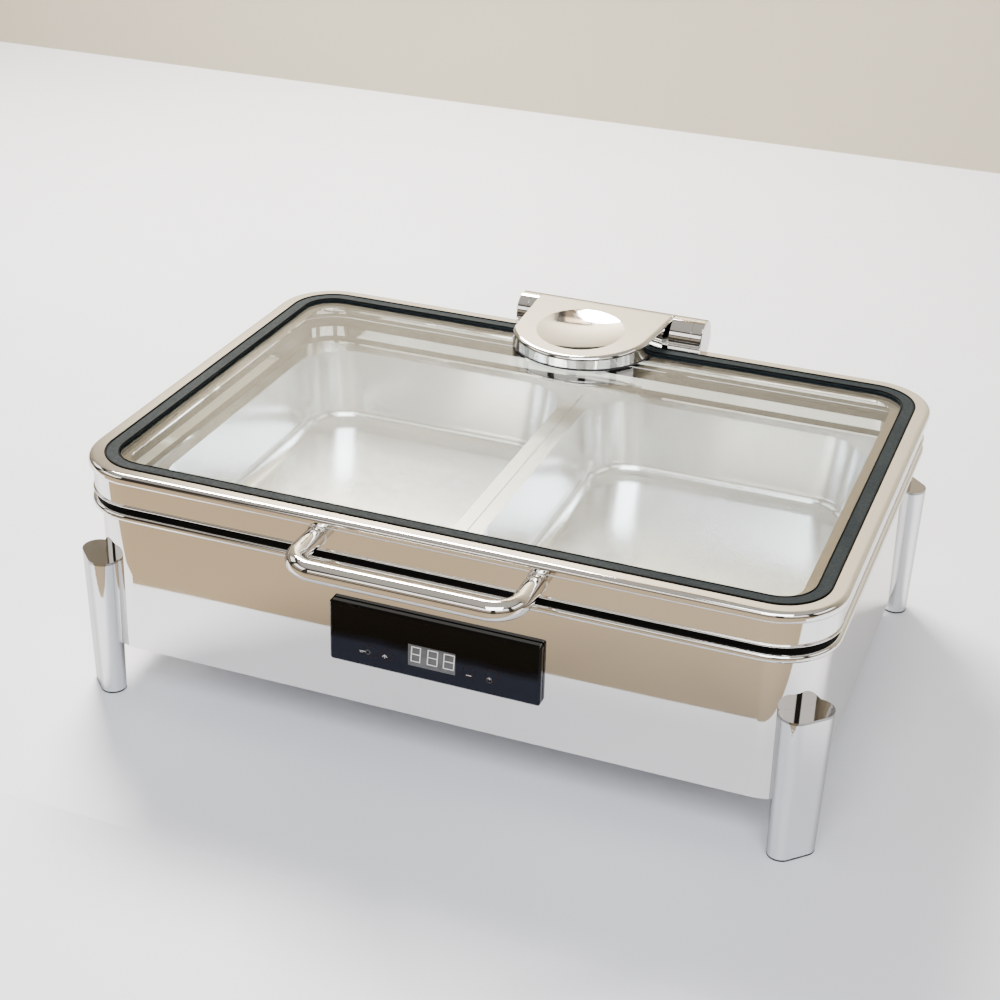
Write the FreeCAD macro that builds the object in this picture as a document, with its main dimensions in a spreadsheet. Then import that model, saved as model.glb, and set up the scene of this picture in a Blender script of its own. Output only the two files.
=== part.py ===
"""Electric buffet warmer: a mirror-finished rectangular chafer with a hinged glass lid.

Frame: +Z up, front towards -Y, X along the long side, origin on the floor under the middle
of the whole object.  The pieces are laid out about the casing's middle and then moved back by
frame_shift, because the handle reaches further forward than the hinge reaches back.  Lengths
are millimetres.
"""
import FreeCAD, Part

import math
import os

import Sketcher

doc = FreeCAD.newDocument("buffet_warmer")

# Driving dimensions, one row each in the sheet
DIMENSIONS = [
    # feet and legs
    ("foot_pad_height", 1.5),
    ("foot_plug_height", 12.0),
    ("leg_top", 118.5),
    ("leg_length", 41.4),
    ("leg_thickness", 24.5),
    ("leg_foot_length", 37.0),
    ("leg_foot_thickness", 20.0),
    ("leg_wall", 1.5),
    ("leg_standoff", 5.0),
    ("leg_cap_thickness", 2.0),
    ("leg_cap_plug", 5.0),
    ("leg_bolt_diameter", 5.0),
    ("leg_bolt_low", 68.0),
    ("leg_bolt_high", 102.0),
    # casing
    ("casing_margin_x", 20.5),
    ("casing_margin_y", 32.5),
    ("casing_height", 115.9),
    ("casing_radius", 40.0),
    ("casing_wall", 1.2),
    ("casing_bottom", 43.4),
    ("casing_lip", 14.0),
    ("base_plate_thickness", 1.2),
    ("vent_length", 44.0),
    ("vent_width", 5.0),
    ("vent_pitch", 14.0),
    ("vent_rows", 9.0),
    # water pan and its rolled rim
    ("basin_margin_x", 28.5),
    ("basin_margin_y", 40.5),
    ("basin_drop", 85.0),
    ("basin_radius", 30.0),
    ("pan_sheet", 1.2),
    ("ledge_step", 0.7),
    ("rim_overhang_x", 5.5),
    ("rim_overhang_y", 9.0),
    ("rim_radius", 47.5),
    ("rim_band", 12.0),
    ("rim_height", 6.5),
    ("seal_width", 9.0),
    ("seal_setback", 3.0),
    ("seal_height", 5.5),
    ("bar_width", 19.0),
    ("bar_height", 10.0),
    # food pans, half size each
    ("food_pan_width", 264.0),
    ("food_pan_depth", 325.0),
    ("food_pan_height", 65.0),
    ("food_pan_flange", 11.0),
    ("food_pan_corner", 42.0),
    ("food_pan_taper", 7.0),
    ("food_pan_sheet", 1.0),
    ("food_pan_gap", 1.0),
    # lid
    ("lid_clearance", 0.3),
    ("lid_setback", 1.5),
    ("lid_bead_overhang", 3.0),
    ("lid_bead_height", 8.5),
    ("lid_height", 27.9),
    ("lid_sheet", 1.5),
    ("lid_ledge_width", 20.0),
    ("lid_rail", 9.0),
    ("lid_skirt_radius", 47.0),
    ("gasket_band", 11.0),
    ("gasket_lip", 2.0),
    ("glass_thickness", 4.0),
    ("glass_inset", 4.0),
    # handle
    ("handle_span", 168.0),
    ("handle_diameter", 15.0),
    ("handle_reach", 48.5),
    ("handle_bend", 20.0),
    # hinge
    ("hinge_setback", 28.2),
    ("hinge_rise", 1.8),
    ("barrel_diameter", 35.0),
    ("cover_width", 124.0),
    ("cover_x", -6.0),
    ("nose_x", -13.0),
    ("knuckle_outer", 75.3),
    ("end_cap_length", 10.0),
    ("axial_gap", 0.4),
    ("pin_diameter", 8.0),
    ("pin_clearance", 0.05),
    ("bush_length", 6.0),
    ("bore_diameter", 20.0),
    ("damper_length", 46.0),
    ("bracket_thickness", 3.0),
    ("bracket_drop", 55.3),
    ("bracket_rise", 50.0),
    ("cover_length", 104.2),
    ("cover_wall", 1.2),
    ("cover_height", 10.0),
    ("cover_edge_round", 3.5),
    ("dish_radius", 38.0),
    ("dish_setback", 52.0),
    ("dish_depth", 4.5),
    ("lid_plate_thickness", 3.0),
    ("lid_plate_width", 72.0),
    ("lid_bolt_diameter", 5.0),
    # control panel
    ("panel_width", 165.0),
    ("panel_height", 50.5),
    ("panel_x", 6.7),
    ("panel_thickness", 5.0),
    ("panel_middle", 105.6),
    ("panel_bevel", 1.5),
    ("housing_flange", 1.0),
    ("housing_depth", 20.0),
    ("housing_wall", 1.6),
    ("housing_margin", 8.0),
    ("board_thickness", 1.6),
    ("display_width", 37.0),
    ("display_height", 18.0),
    ("display_shift", -1.0),
    ("display_drop", 5.7),
    ("display_depth", 8.0),
    ("touch_first", -54.0),
    ("touch_second", -38.0),
    ("touch_third", 28.0),
    ("touch_fourth", 44.0),
    ("touch_drop", 12.0),
    # heater and electrics
    ("heater_width", 300.0),
    ("heater_depth", 180.0),
    ("heater_thickness", 4.0),
    ("heater_tube", 6.6),
    ("power_board_width", 104.0),
    ("power_board_depth", 34.0),
    ("power_board_inset", 117.0),
    ("standoff_height", 8.0),
    ("inlet_inset", 89.0),
    ("inlet_z", 82.0),
]

# Small allowances
OVERCUT = 1.0
THROUGH = 8.0
FIT = 0.4
SCREW_PLAY = 0.2
SCRIBE_PLAY = 0.05
BARREL_PLAY = 0.2
BACK_START = 5.0


class Size:
    """A number together with the sheet expression that it comes from."""

    def __init__(self, value, text):
        self.value = value
        self.text = text

    def joined(self, other, sign, value):
        return Size(value, "(" + self.text + " " + sign + " " + other.text + ")")

    def __add__(self, other):
        other = as_size(other)
        return self.joined(other, "+", self.value + other.value)

    def __sub__(self, other):
        other = as_size(other)
        return self.joined(other, "-", self.value - other.value)

    def __mul__(self, other):
        other = as_size(other)
        return self.joined(other, "*", self.value * other.value)

    def __truediv__(self, other):
        other = as_size(other)
        return self.joined(other, "/", self.value / other.value)

    def __radd__(self, other):
        return as_size(other) + self

    def __rsub__(self, other):
        return as_size(other) - self

    def __rmul__(self, other):
        return as_size(other) * self

    def __neg__(self):
        return 0 - self


def as_size(thing):
    """Turn a plain number into a Size, and leave a Size as it is."""
    if isinstance(thing, Size):
        return thing
    return Size(float(thing), "%.6f" % thing)


class Dimensions:
    """The sheet's cells by name."""


sheet = doc.addObject("Spreadsheet::Sheet", "sizes")
d = Dimensions()
for row, (alias, number) in enumerate(DIMENSIONS, start=1):
    sheet.set("A%d" % row, alias)
    sheet.set("B%d" % row, str(number))
    sheet.setAlias("B%d" % row, alias)
    setattr(d, alias, Size(number, "sizes." + alias))
doc.recompute()

# Values that several pieces share, worked out from the driving dimensions
DIAGONAL = math.sqrt(0.5)
QUARTER_TURN = 90.0
casing_width = 2 * d.food_pan_width + d.food_pan_gap + 2 * d.casing_margin_x
casing_depth = d.food_pan_depth + 2 * d.casing_margin_y
casing_top = d.casing_bottom + d.casing_height
casing_back = casing_depth / 2
ledge_height = casing_top + d.ledge_step
basin_width = casing_width - 2 * d.basin_margin_x
basin_depth = casing_depth - 2 * d.basin_margin_y
basin_floor = ledge_height - d.basin_drop
rim_width = casing_width + 2 * d.rim_overhang_x
rim_depth = casing_depth + 2 * d.rim_overhang_y
rim_top = casing_top + d.rim_height
lid_skirt_width = rim_width - 2 * d.lid_setback
lid_skirt_depth = rim_depth - 2 * d.lid_setback
lid_bottom = rim_top + d.seal_height + d.lid_clearance
lid_top = lid_bottom + d.lid_height
hinge_y = casing_back + d.hinge_setback
hinge_z = lid_top + d.hinge_rise
cover_front = hinge_y - d.cover_length
cover_top = lid_top + d.cover_height
glass_bottom = lid_top - d.gasket_lip - d.glass_thickness
glass_top = lid_top - d.gasket_lip
frame_ledge = glass_bottom - d.gasket_lip - d.lid_sheet
gasket_width = lid_skirt_width - 2 * d.lid_rail
gasket_depth = lid_skirt_depth - 2 * d.lid_rail
gasket_radius = d.lid_skirt_radius - d.lid_rail
bead_width = lid_skirt_width + 2 * d.lid_bead_overhang
bead_depth = lid_skirt_depth + 2 * d.lid_bead_overhang
bead_radius = d.lid_skirt_radius + d.lid_bead_overhang
pan_seat = ledge_height + d.pan_sheet
barrel_radius = d.barrel_diameter / 2
lid_knuckle_radius = barrel_radius - d.cover_wall - BARREL_PLAY
cover_half = d.cover_width / 2
knuckle_end = d.knuckle_outer
left_knuckle_end = d.cover_x - cover_half - d.axial_gap
right_knuckle_start = d.cover_x + cover_half + d.axial_gap
barrel_end = knuckle_end + d.end_cap_length
HINGE_LIFT = 0.2
plate_bottom = lid_top + HINGE_LIFT
plate_top = plate_bottom + d.lid_plate_thickness
BRACKET_GAP = 1.5
bracket_y = lid_skirt_depth / 2 + d.lid_bead_overhang + BRACKET_GAP
base_top = d.casing_bottom + d.casing_wall + d.base_plate_thickness
corner_x = casing_width / 2 - d.casing_radius
corner_y = casing_back - d.casing_radius
leg_reach = d.casing_radius + d.leg_standoff
HANDLE_GAP = 0.1
handle_z = lid_top - d.lid_bead_height - d.handle_diameter / 2 - HANDLE_GAP
handle_root = lid_skirt_depth / 2
handle_front = handle_root + d.handle_reach
panel_back = casing_back + d.housing_flange
housing_inner = casing_back - d.housing_depth
DISPLAY_GAP = 0.4
board_face = panel_back - d.display_depth - DISPLAY_GAP
inlet_x = casing_width / 2 - d.inlet_inset
power_board_x = casing_width / 2 - d.power_board_inset
heater_top = basin_floor
heater_bottom = heater_top - d.heater_thickness
frame_shift = (handle_front + d.handle_diameter / 2 - hinge_y - barrel_radius) / 2


def bind(item, name, size):
    """Tie one property to the sheet."""
    item.setExpression(name, as_size(size).text)


def new_body(label, x=0, y=0, z=0, turn=0.0):
    """A body whose own frame sits at x, y, z of the casing's middle, turned about the upright axis."""
    body = doc.addObject("PartDesign::Body", label)
    body.Label = label
    x, y, z = as_size(x), frame_shift + y, as_size(z)
    place = FreeCAD.Placement()
    place.Base = FreeCAD.Vector(x.value, y.value, z.value)
    place.Rotation = FreeCAD.Rotation(FreeCAD.Vector(0, 0, 1), turn)
    body.Placement = place
    bind(body, "Placement.Base.x", x)
    bind(body, "Placement.Base.y", y)
    bind(body, "Placement.Base.z", z)
    return body


def new_sketch(body, role="XY_Plane", level=0, x=0, y=0, turn=None):
    """A sketch on one of the body's own planes, lifted by level and shifted in its plane."""
    sketch = body.newObject("Sketcher::SketchObject", body.Name + "_sketch")
    plane = next(item for item in body.Origin.OriginFeatures if item.Role == role)
    sketch.AttachmentSupport = [(plane, "")]
    sketch.MapMode = "FlatFace"
    level, x, y = as_size(level), as_size(x), as_size(y)
    place = FreeCAD.Placement()
    place.Base = FreeCAD.Vector(x.value, y.value, level.value)
    if turn is not None:
        place.Rotation = turn
    sketch.AttachmentOffset = place
    bind(sketch, "AttachmentOffset.Base.x", x)
    bind(sketch, "AttachmentOffset.Base.y", y)
    bind(sketch, "AttachmentOffset.Base.z", level)
    return sketch


def drive(sketch, kind, *where, size):
    """Add a driving constraint that reads the sheet."""
    size = as_size(size)
    index = sketch.addConstraint(Sketcher.Constraint(kind, *where, size.value))
    sketch.setExpression("Constraints[%d]" % index, size.text)


def add_rounded(sketch, width, depth, radius):
    """A rectangle with rounded corners, centred on the sketch."""
    width, depth, radius = as_size(width), as_size(depth), as_size(radius)
    a, b, r = width.value / 2, depth.value / 2, radius.value
    up = FreeCAD.Vector(0, 0, 1)
    first = sketch.GeometryCount
    corners = [(a - r, -(b - r), -QUARTER_TURN), (a - r, b - r, 0),
               (-(a - r), b - r, QUARTER_TURN), (-(a - r), -(b - r), 2 * QUARTER_TURN)]
    sides = [((-(a - r), -b), (a - r, -b)), ((a, -(b - r)), (a, b - r)),
             ((a - r, b), (-(a - r), b)), ((-a, b - r), (-a, -(b - r)))]
    for side, (cx, cy, start) in zip(sides, corners):
        ends = [FreeCAD.Vector(px, py, 0) for px, py in side]
        sketch.addGeometry(Part.LineSegment(*ends))
        circle = Part.Circle(FreeCAD.Vector(cx, cy, 0), up, r)
        sketch.addGeometry(Part.ArcOfCircle(circle, math.radians(start), math.radians(start + QUARTER_TURN)))
    rules = []
    for step in range(8):
        rules.append(Sketcher.Constraint("Tangent", first + step, 2, first + (step + 1) % 8, 1))
    rules.append(Sketcher.Constraint("Horizontal", first))
    rules.append(Sketcher.Constraint("Vertical", first + 2))
    rules.append(Sketcher.Constraint("Horizontal", first + 4))
    rules.append(Sketcher.Constraint("Vertical", first + 6))
    for step in (1, 3, 5):
        rules.append(Sketcher.Constraint("Equal", first + step, first + step + 2))
    rules.append(Sketcher.Constraint("Symmetric", first + 7, 3, first + 3, 3, -1, 1))
    sketch.addConstraint(rules)
    drive(sketch, "DistanceX", first + 6, 2, first + 2, 1, size=width)
    drive(sketch, "DistanceY", first + 2, 1, first + 2, 2, size=depth - 2 * radius)
    drive(sketch, "Radius", first + 1, size=radius)


def add_oval(sketch, length, thickness):
    """A flat-sided oval, two straights and two half circles, long along the sketch's X."""
    length, thickness = as_size(length), as_size(thickness)
    r = thickness.value / 2
    h = length.value / 2 - r
    up = FreeCAD.Vector(0, 0, 1)
    first = sketch.GeometryCount
    sketch.addGeometry(Part.LineSegment(FreeCAD.Vector(-h, -r, 0), FreeCAD.Vector(h, -r, 0)))
    right = Part.Circle(FreeCAD.Vector(h, 0, 0), up, r)
    sketch.addGeometry(Part.ArcOfCircle(right, -math.pi / 2, math.pi / 2))
    sketch.addGeometry(Part.LineSegment(FreeCAD.Vector(h, r, 0), FreeCAD.Vector(-h, r, 0)))
    left = Part.Circle(FreeCAD.Vector(-h, 0, 0), up, r)
    sketch.addGeometry(Part.ArcOfCircle(left, math.pi / 2, 3 * math.pi / 2))
    rules = []
    for step in range(4):
        rules.append(Sketcher.Constraint("Tangent", first + step, 2, first + (step + 1) % 4, 1))
    rules.append(Sketcher.Constraint("Horizontal", first))
    rules.append(Sketcher.Constraint("Symmetric", first + 3, 3, first + 1, 3, -1, 1))
    sketch.addConstraint(rules)
    drive(sketch, "DistanceX", first + 3, 3, first + 1, 3, size=length - thickness)
    drive(sketch, "Radius", first + 1, size=thickness / 2)


def add_circle(sketch, diameter, x=0, y=0):
    """A circle at x, y of the sketch; a zero place is held on the sketch's own axes."""
    diameter, x, y = as_size(diameter), as_size(x), as_size(y)
    centre = FreeCAD.Vector(x.value, y.value, 0)
    index = sketch.addGeometry(Part.Circle(centre, FreeCAD.Vector(0, 0, 1), diameter.value / 2))
    drive(sketch, "Diameter", index, size=diameter)
    if x.value == 0:
        sketch.addConstraint(Sketcher.Constraint("PointOnObject", index, 3, -2))
    else:
        drive(sketch, "DistanceX", -1, 1, index, 3, size=x)
    if y.value == 0:
        sketch.addConstraint(Sketcher.Constraint("PointOnObject", index, 3, -1))
    else:
        drive(sketch, "DistanceY", -1, 1, index, 3, size=y)


def add_polygon(sketch, points):
    """A closed outline through points given as pairs of sizes; every corner is driven."""
    points = [(as_size(px), as_size(py)) for px, py in points]
    first = sketch.GeometryCount
    count = len(points)
    for step in range(count):
        start, end = points[step], points[(step + 1) % count]
        sketch.addGeometry(Part.LineSegment(FreeCAD.Vector(start[0].value, start[1].value, 0),
                                            FreeCAD.Vector(end[0].value, end[1].value, 0)))
    for step in range(count):
        after = (step + 1) % count
        sketch.addConstraint(Sketcher.Constraint("Coincident", first + step, 2, first + after, 1))
    for step, (px, py) in enumerate(points):
        for kind, size, axis in (("DistanceX", px, -2), ("DistanceY", py, -1)):
            if size.value == 0:
                sketch.addConstraint(Sketcher.Constraint("PointOnObject", first + step, 1, axis))
            else:
                drive(sketch, kind, -1, 1, first + step, 1, size=size)


def pad(body, sketch, length, midplane=False, reverse=False):
    """Grow the sketch along its normal."""
    feature = body.newObject("PartDesign::Pad", body.Name + "_pad")
    feature.Profile = sketch
    feature.Midplane = midplane
    feature.Reversed = reverse
    feature.Length = as_size(length).value
    bind(feature, "Length", length)
    sketch.Visibility = False
    body.Tip = feature
    return feature


def pocket(body, sketch, length, midplane=False, along=True):
    """Cut the sketch along its normal, or against it; the volume has to drop."""
    doc.recompute()
    before = body.Tip.Shape.Volume
    feature = body.newObject("PartDesign::Pocket", body.Name + "_pocket")
    feature.Profile = sketch
    feature.Midplane = midplane
    feature.Reversed = along
    feature.Length = as_size(length).value
    bind(feature, "Length", length)
    body.Tip = feature
    doc.recompute()
    if feature.Shape.Volume >= before:
        raise RuntimeError(body.Label + ": a pocket cut nothing")
    return feature


def loft(body, kind, lower, upper):
    """Join two outlines of the same make, adding or cutting."""
    feature = body.newObject("PartDesign::" + kind, body.Name + "_loft")
    feature.Profile = lower
    feature.Sections = [upper]
    feature.Ruled = True
    body.Tip = feature
    return feature


def dress(body, kind, size, chosen):
    """Fillet or chamfer the edges of the body's last shape that chosen picks."""
    doc.recompute()
    base = body.Tip
    names = ["Edge%d" % (i + 1) for i, edge in enumerate(base.Shape.Edges) if chosen(edge)]
    feature = body.newObject("PartDesign::" + kind, body.Name + "_" + kind.lower())
    feature.Base = (base, names)
    name = "Radius" if kind == "Fillet" else "Size"
    setattr(feature, name, as_size(size).value)
    bind(feature, name, size)
    body.Tip = feature
    return feature


def outline(width, depth, radius, level):
    """Pick the eight edges of a rounded rectangle that lies flat at a level."""
    width, depth, radius, level = [as_size(item).value for item in (width, depth, radius, level)]
    slant = radius * (1 - DIAGONAL)
    middles = [(width / 2, 0), (0, depth / 2), (width / 2 - slant, depth / 2 - slant)]

    def chosen(edge):
        middle = edge.valueAt((edge.FirstParameter + edge.LastParameter) / 2)
        if abs(edge.BoundBox.ZMin - level) > 0.01 or abs(edge.BoundBox.ZMax - level) > 0.01:
            return False
        spot = (abs(middle.x), abs(middle.y))
        return any(math.dist(spot, other) < 0.2 for other in middles)

    return chosen


def rounded_ring(body, width, depth, radius, band, bottom, height):
    """A flat ring of even width: a rounded rectangle with another inside it."""
    sketch = new_sketch(body, level=bottom)
    add_rounded(sketch, width, depth, radius)
    add_rounded(sketch, width - 2 * band, depth - 2 * band, radius - band)
    return pad(body, sketch, height)


def rounded_plate(body, width, depth, radius, bottom, height):
    """A plate with rounded corners."""
    sketch = new_sketch(body, level=bottom)
    add_rounded(sketch, width, depth, radius)
    return pad(body, sketch, height)


def rounded_cut(body, width, depth, radius, bottom, height):
    """Cut a rounded block upwards from a level."""
    sketch = new_sketch(body, level=bottom)
    add_rounded(sketch, width, depth, radius)
    return pocket(body, sketch, height)


def add_rectangle(sketch, width, depth, x=0, y=0):
    """A plain rectangle centred at x, y of the sketch."""
    left, right = x - width / 2, x + width / 2
    low, high = y - depth / 2, y + depth / 2
    add_polygon(sketch, [(left, low), (right, low), (right, high), (left, high)])


def add_shape(label, shape):
    """A piece whose shape is set directly, for groups of like solids and formed sheet."""
    item = doc.addObject("Part::Feature", label)
    item.Label = label
    item.Shape = shape
    item.Placement = FreeCAD.Placement(FreeCAD.Vector(0, frame_shift.value, 0), FreeCAD.Rotation())
    bind(item, "Placement.Base.y", frame_shift)
    return item


def screw(head_diameter, head_height, shank_diameter, shank_length, start, direction):
    """A screw: its head starts at start and grows backwards, its shank runs along direction."""
    axis = FreeCAD.Vector(*direction)
    start = FreeCAD.Vector(*start)
    shank = Part.makeCylinder(shank_diameter / 2, shank_length, start, axis)
    head = Part.makeCylinder(head_diameter / 2, head_height, start, axis.negative())
    return head.fuse(shank).removeSplitter()


def nut(across, thickness, bore, start, direction):
    """A hexagonal nut with a plain bore, sitting on start and growing along direction."""
    axis = FreeCAD.Vector(*direction)
    circle = across / math.sqrt(3)
    corners = []
    for step in range(7):
        angle = math.radians(60 * step)
        corners.append(FreeCAD.Vector(circle * math.cos(angle), circle * math.sin(angle), 0))
    block = Part.Face(Part.makePolygon(corners)).extrude(FreeCAD.Vector(0, 0, thickness))
    hole = Part.makeCylinder(bore / 2, thickness + 2, FreeCAD.Vector(0, 0, -1))
    piece = block.cut(hole)
    turn = FreeCAD.Rotation(FreeCAD.Vector(0, 0, 1), axis)
    piece.Placement = FreeCAD.Placement(FreeCAD.Vector(*start), turn)
    return piece


def lead(points, diameter):
    """A round lead along straight runs joined by tangent arcs."""
    points = [FreeCAD.Vector(*point) for point in points]
    edges = []
    last = points[0]
    for before, corner, after in zip(points, points[1:], points[2:]):
        inward = (before - corner).normalize()
        outward = (after - corner).normalize()
        turn = math.pi - inward.getAngle(outward)
        shorter = min((before - corner).Length, (after - corner).Length)
        step = 0.45 * shorter
        radius = step / math.tan(turn / 2)
        start, end = corner + inward * step, corner + outward * step
        middle_way = (inward + outward).normalize()
        centre = corner + middle_way * math.hypot(radius, step)
        middle = centre - middle_way * radius
        edges.append(Part.LineSegment(last, start).toShape())
        edges.append(Part.Arc(start, middle, end).toShape())
        last = end
    edges.append(Part.LineSegment(last, points[-1]).toShape())
    path = Part.Wire(edges)
    ring = Part.Circle(points[0], points[1] - points[0], diameter / 2).toShape()
    solid = path.makePipeShell([Part.Wire(ring)], True, False)
    return solid


# Feet: a rubber pad with a plug pressed up into the leg tube
HALF_RIGHT = QUARTER_TURN / 2
CORNERS = [("front_left", -1, -1, 3 * HALF_RIGHT), ("front_right", 1, -1, -3 * HALF_RIGHT),
           ("back_left", -1, 1, HALF_RIGHT), ("back_right", 1, 1, -HALF_RIGHT)]


def leg_place(side_x, side_y):
    """A leg stands on the diagonal of the casing's rounded corner."""
    along = leg_reach * DIAGONAL
    return side_x * (corner_x + along), side_y * (corner_y + along)


def leg_section(level):
    """Length and thickness of a leg's outline at a level; both shrink towards the floor."""
    share = (d.leg_top - level) / (d.leg_top - d.foot_pad_height)
    length = d.leg_length - (d.leg_length - d.leg_foot_length) * share
    thickness = d.leg_thickness - (d.leg_thickness - d.leg_foot_thickness) * share
    return length, thickness


SCRIBE_DROP = 0.3


def scribe(body, height):
    """Cut the side that faces the casing to the casing's own corner radius."""
    sketch = new_sketch(body, level=d.casing_bottom - SCRIBE_DROP)
    add_circle(sketch, 2 * (d.casing_radius + SCRIBE_PLAY), y=-leg_reach)
    pocket(body, sketch, height)


for corner, side_x, side_y, turn in CORNERS:
    x, y = leg_place(side_x, side_y)
    foot = new_body(corner + "_foot_pad", x, y, 0, turn)
    outline_sketch = new_sketch(foot)
    add_oval(outline_sketch, d.leg_foot_length, d.leg_foot_thickness)
    pad(foot, outline_sketch, d.foot_pad_height)
    plug = new_sketch(foot, level=d.foot_pad_height)
    add_oval(plug, d.leg_foot_length - 2 * d.leg_wall, d.leg_foot_thickness - 2 * d.leg_wall)
    pad(foot, plug, d.foot_plug_height)

# Legs: a flat-sided oval tube that tapers down, scribed to the casing's corner above its bottom edge
for corner, side_x, side_y, turn in CORNERS:
    x, y = leg_place(side_x, side_y)
    leg = new_body(corner + "_leg", x, y, 0, turn)
    tube_top = d.leg_top - d.leg_cap_thickness
    for kind, wall in (("AdditiveLoft", 0), ("SubtractiveLoft", d.leg_wall)):
        outlines = []
        for level in (d.foot_pad_height, tube_top):
            length, thickness = leg_section(level)
            tube = new_sketch(leg, level=level)
            add_oval(tube, length - 2 * wall, thickness - 2 * wall)
            outlines.append(tube)
        loft(leg, kind, *outlines)
    scribe(leg, d.leg_top)

# Leg caps: a polished plate with a short plug
for corner, side_x, side_y, turn in CORNERS:
    x, y = leg_place(side_x, side_y)
    cap = new_body(corner + "_leg_cap", x, y, 0, turn)
    top_level = d.leg_top - d.leg_cap_thickness
    top = new_sketch(cap, level=top_level)
    add_oval(top, *leg_section(top_level))
    pad(cap, top, d.leg_cap_thickness)
    plug_level = top_level - d.leg_cap_plug
    length, thickness = leg_section(plug_level)
    plug = new_sketch(cap, level=plug_level)
    add_oval(plug, length - 2 * d.leg_wall, thickness - 2 * d.leg_wall)
    pad(cap, plug, d.leg_cap_plug)
    scribe(cap, d.leg_top)


def leg_blocks():
    """Threaded blocks inside each leg at the two bolt heights."""
    solids = []
    height = 2 * d.leg_bolt_diameter.value
    wall = d.leg_wall.value + SCRIBE_PLAY
    for corner, side_x, side_y, turn in CORNERS:
        x, y = leg_place(side_x, side_y)
        place = FreeCAD.Placement(FreeCAD.Vector(as_size(x).value, as_size(y).value, 0),
                                  FreeCAD.Rotation(FreeCAD.Vector(0, 0, 1), turn))
        for level in (d.leg_bolt_low.value, d.leg_bolt_high.value):
            low = level - height / 2
            length, thickness = leg_section(low)
            half = thickness.value / 2 - wall
            run = (length - thickness).value / 2
            block = Part.makeBox(2 * run, 2 * half, height, FreeCAD.Vector(-run, -half, low))
            for end in (-run, run):
                block = block.fuse(Part.makeCylinder(half, height, FreeCAD.Vector(end, 0, low)))
            corner_post = Part.makeCylinder(d.casing_radius.value + SCRIBE_PLAY, height,
                                            FreeCAD.Vector(0, -leg_reach.value, low))
            thread = Part.makeCylinder(d.leg_bolt_diameter.value / 2, 2 * half,
                                       FreeCAD.Vector(0, -half, level), FreeCAD.Vector(0, 1, 0))
            block = block.removeSplitter().cut(corner_post).cut(thread)
            block.Placement = place
            solids.append(block)
    return Part.makeCompound(solids)


LEG_BOLT_HEAD = 3.0
LEG_BOLT_LENGTH = 12.0


def leg_bolts():
    """Two bolts a leg, from inside the casing; each head's rim rests in the corner's curve."""
    solids = []
    head_radius = d.leg_bolt_diameter.value
    for corner, side_x, side_y, turn in CORNERS:
        direction = (side_x * DIAGONAL, side_y * DIAGONAL, 0)
        inner = math.sqrt((d.casing_radius - d.casing_wall).value ** 2 - head_radius ** 2)
        x = side_x * (corner_x.value + inner * DIAGONAL)
        y = side_y * (corner_y.value + inner * DIAGONAL)
        for level in (d.leg_bolt_low.value, d.leg_bolt_high.value):
            solids.append(screw(2 * head_radius, LEG_BOLT_HEAD, d.leg_bolt_diameter.value,
                                LEG_BOLT_LENGTH, (x, y, level), direction))
    return Part.makeCompound(solids)


add_shape("leg_blocks", leg_blocks())
add_shape("leg_bolts", leg_bolts())

# Outer casing: deep-drawn sheet, open at the top, with a lip turned in at the bottom
casing = new_body("outer_casing")
rounded_plate(casing, casing_width, casing_depth, d.casing_radius, d.casing_bottom, d.casing_height)
rounded_cut(casing, casing_width - 2 * d.casing_wall, casing_depth - 2 * d.casing_wall,
            d.casing_radius - d.casing_wall, d.casing_bottom + d.casing_wall, d.casing_height)
opening = d.casing_wall + d.casing_lip
rounded_cut(casing, casing_width - 2 * opening, casing_depth - 2 * opening,
            d.casing_radius - opening, d.casing_bottom - OVERCUT, d.casing_height)
housing_width = d.panel_width - 2 * d.housing_margin
housing_height = d.panel_height - 2 * d.housing_margin
HOUSING_RADIUS = 4.0
window = new_sketch(casing, "XZ_Plane", level=casing_back + OVERCUT, x=d.panel_x, y=d.panel_middle)
add_rounded(window, housing_width + FIT, housing_height + FIT, HOUSING_RADIUS + FIT / 2)
pocket(casing, window, THROUGH, along=False)
inlet_body_width = 27.0
inlet_body_height = 19.6
INLET_RADIUS = 3.0
inlet_hole = new_sketch(casing, "XZ_Plane", level=BACK_START - casing_back, x=inlet_x, y=d.inlet_z)
add_rounded(inlet_hole, inlet_body_width + FIT, inlet_body_height + FIT, INLET_RADIUS)
pocket(casing, inlet_hole, THROUGH, along=False)
INLET_SCREWS = (-20.0, 20.0)
INLET_SCREW = {"head_diameter": 5.6, "head_height": 1.8, "shank_diameter": 3.0, "shank_length": 8.0}
inlet_screw_holes = new_sketch(casing, "XZ_Plane", level=BACK_START - casing_back, x=inlet_x, y=d.inlet_z)
for step in INLET_SCREWS:
    add_circle(inlet_screw_holes, INLET_SCREW["shank_diameter"] + SCREW_PLAY, x=step)
pocket(casing, inlet_screw_holes, THROUGH, along=False)
BRACKET_SCREW = {"head_diameter": 7.5, "head_height": 2.4, "shank_diameter": 4.0, "shank_length": 8.0}
BRACKET_SCREW_INSET = 10.0
LOWER_FLANGE = 14.0
UPPER_FLANGE = 10.0
bracket_foot_high = hinge_z - d.bracket_drop
bracket_foot_low = bracket_foot_high - d.bracket_rise
bracket_hole = BRACKET_SCREW["shank_diameter"] + SCREW_PLAY
bracket_screw_x = knuckle_end - BRACKET_SCREW_INSET
bracket_low = bracket_foot_low - LOWER_FLANGE / 2
bracket_high = bracket_foot_high + UPPER_FLANGE / 2
bracket_holes = new_sketch(casing, "XZ_Plane", level=BACK_START - casing_back)
for side in (-1, 1):
    for level in (bracket_low, bracket_high):
        add_circle(bracket_holes, bracket_hole, x=side * bracket_screw_x, y=level)
pocket(casing, bracket_holes, THROUGH, along=False)
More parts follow.
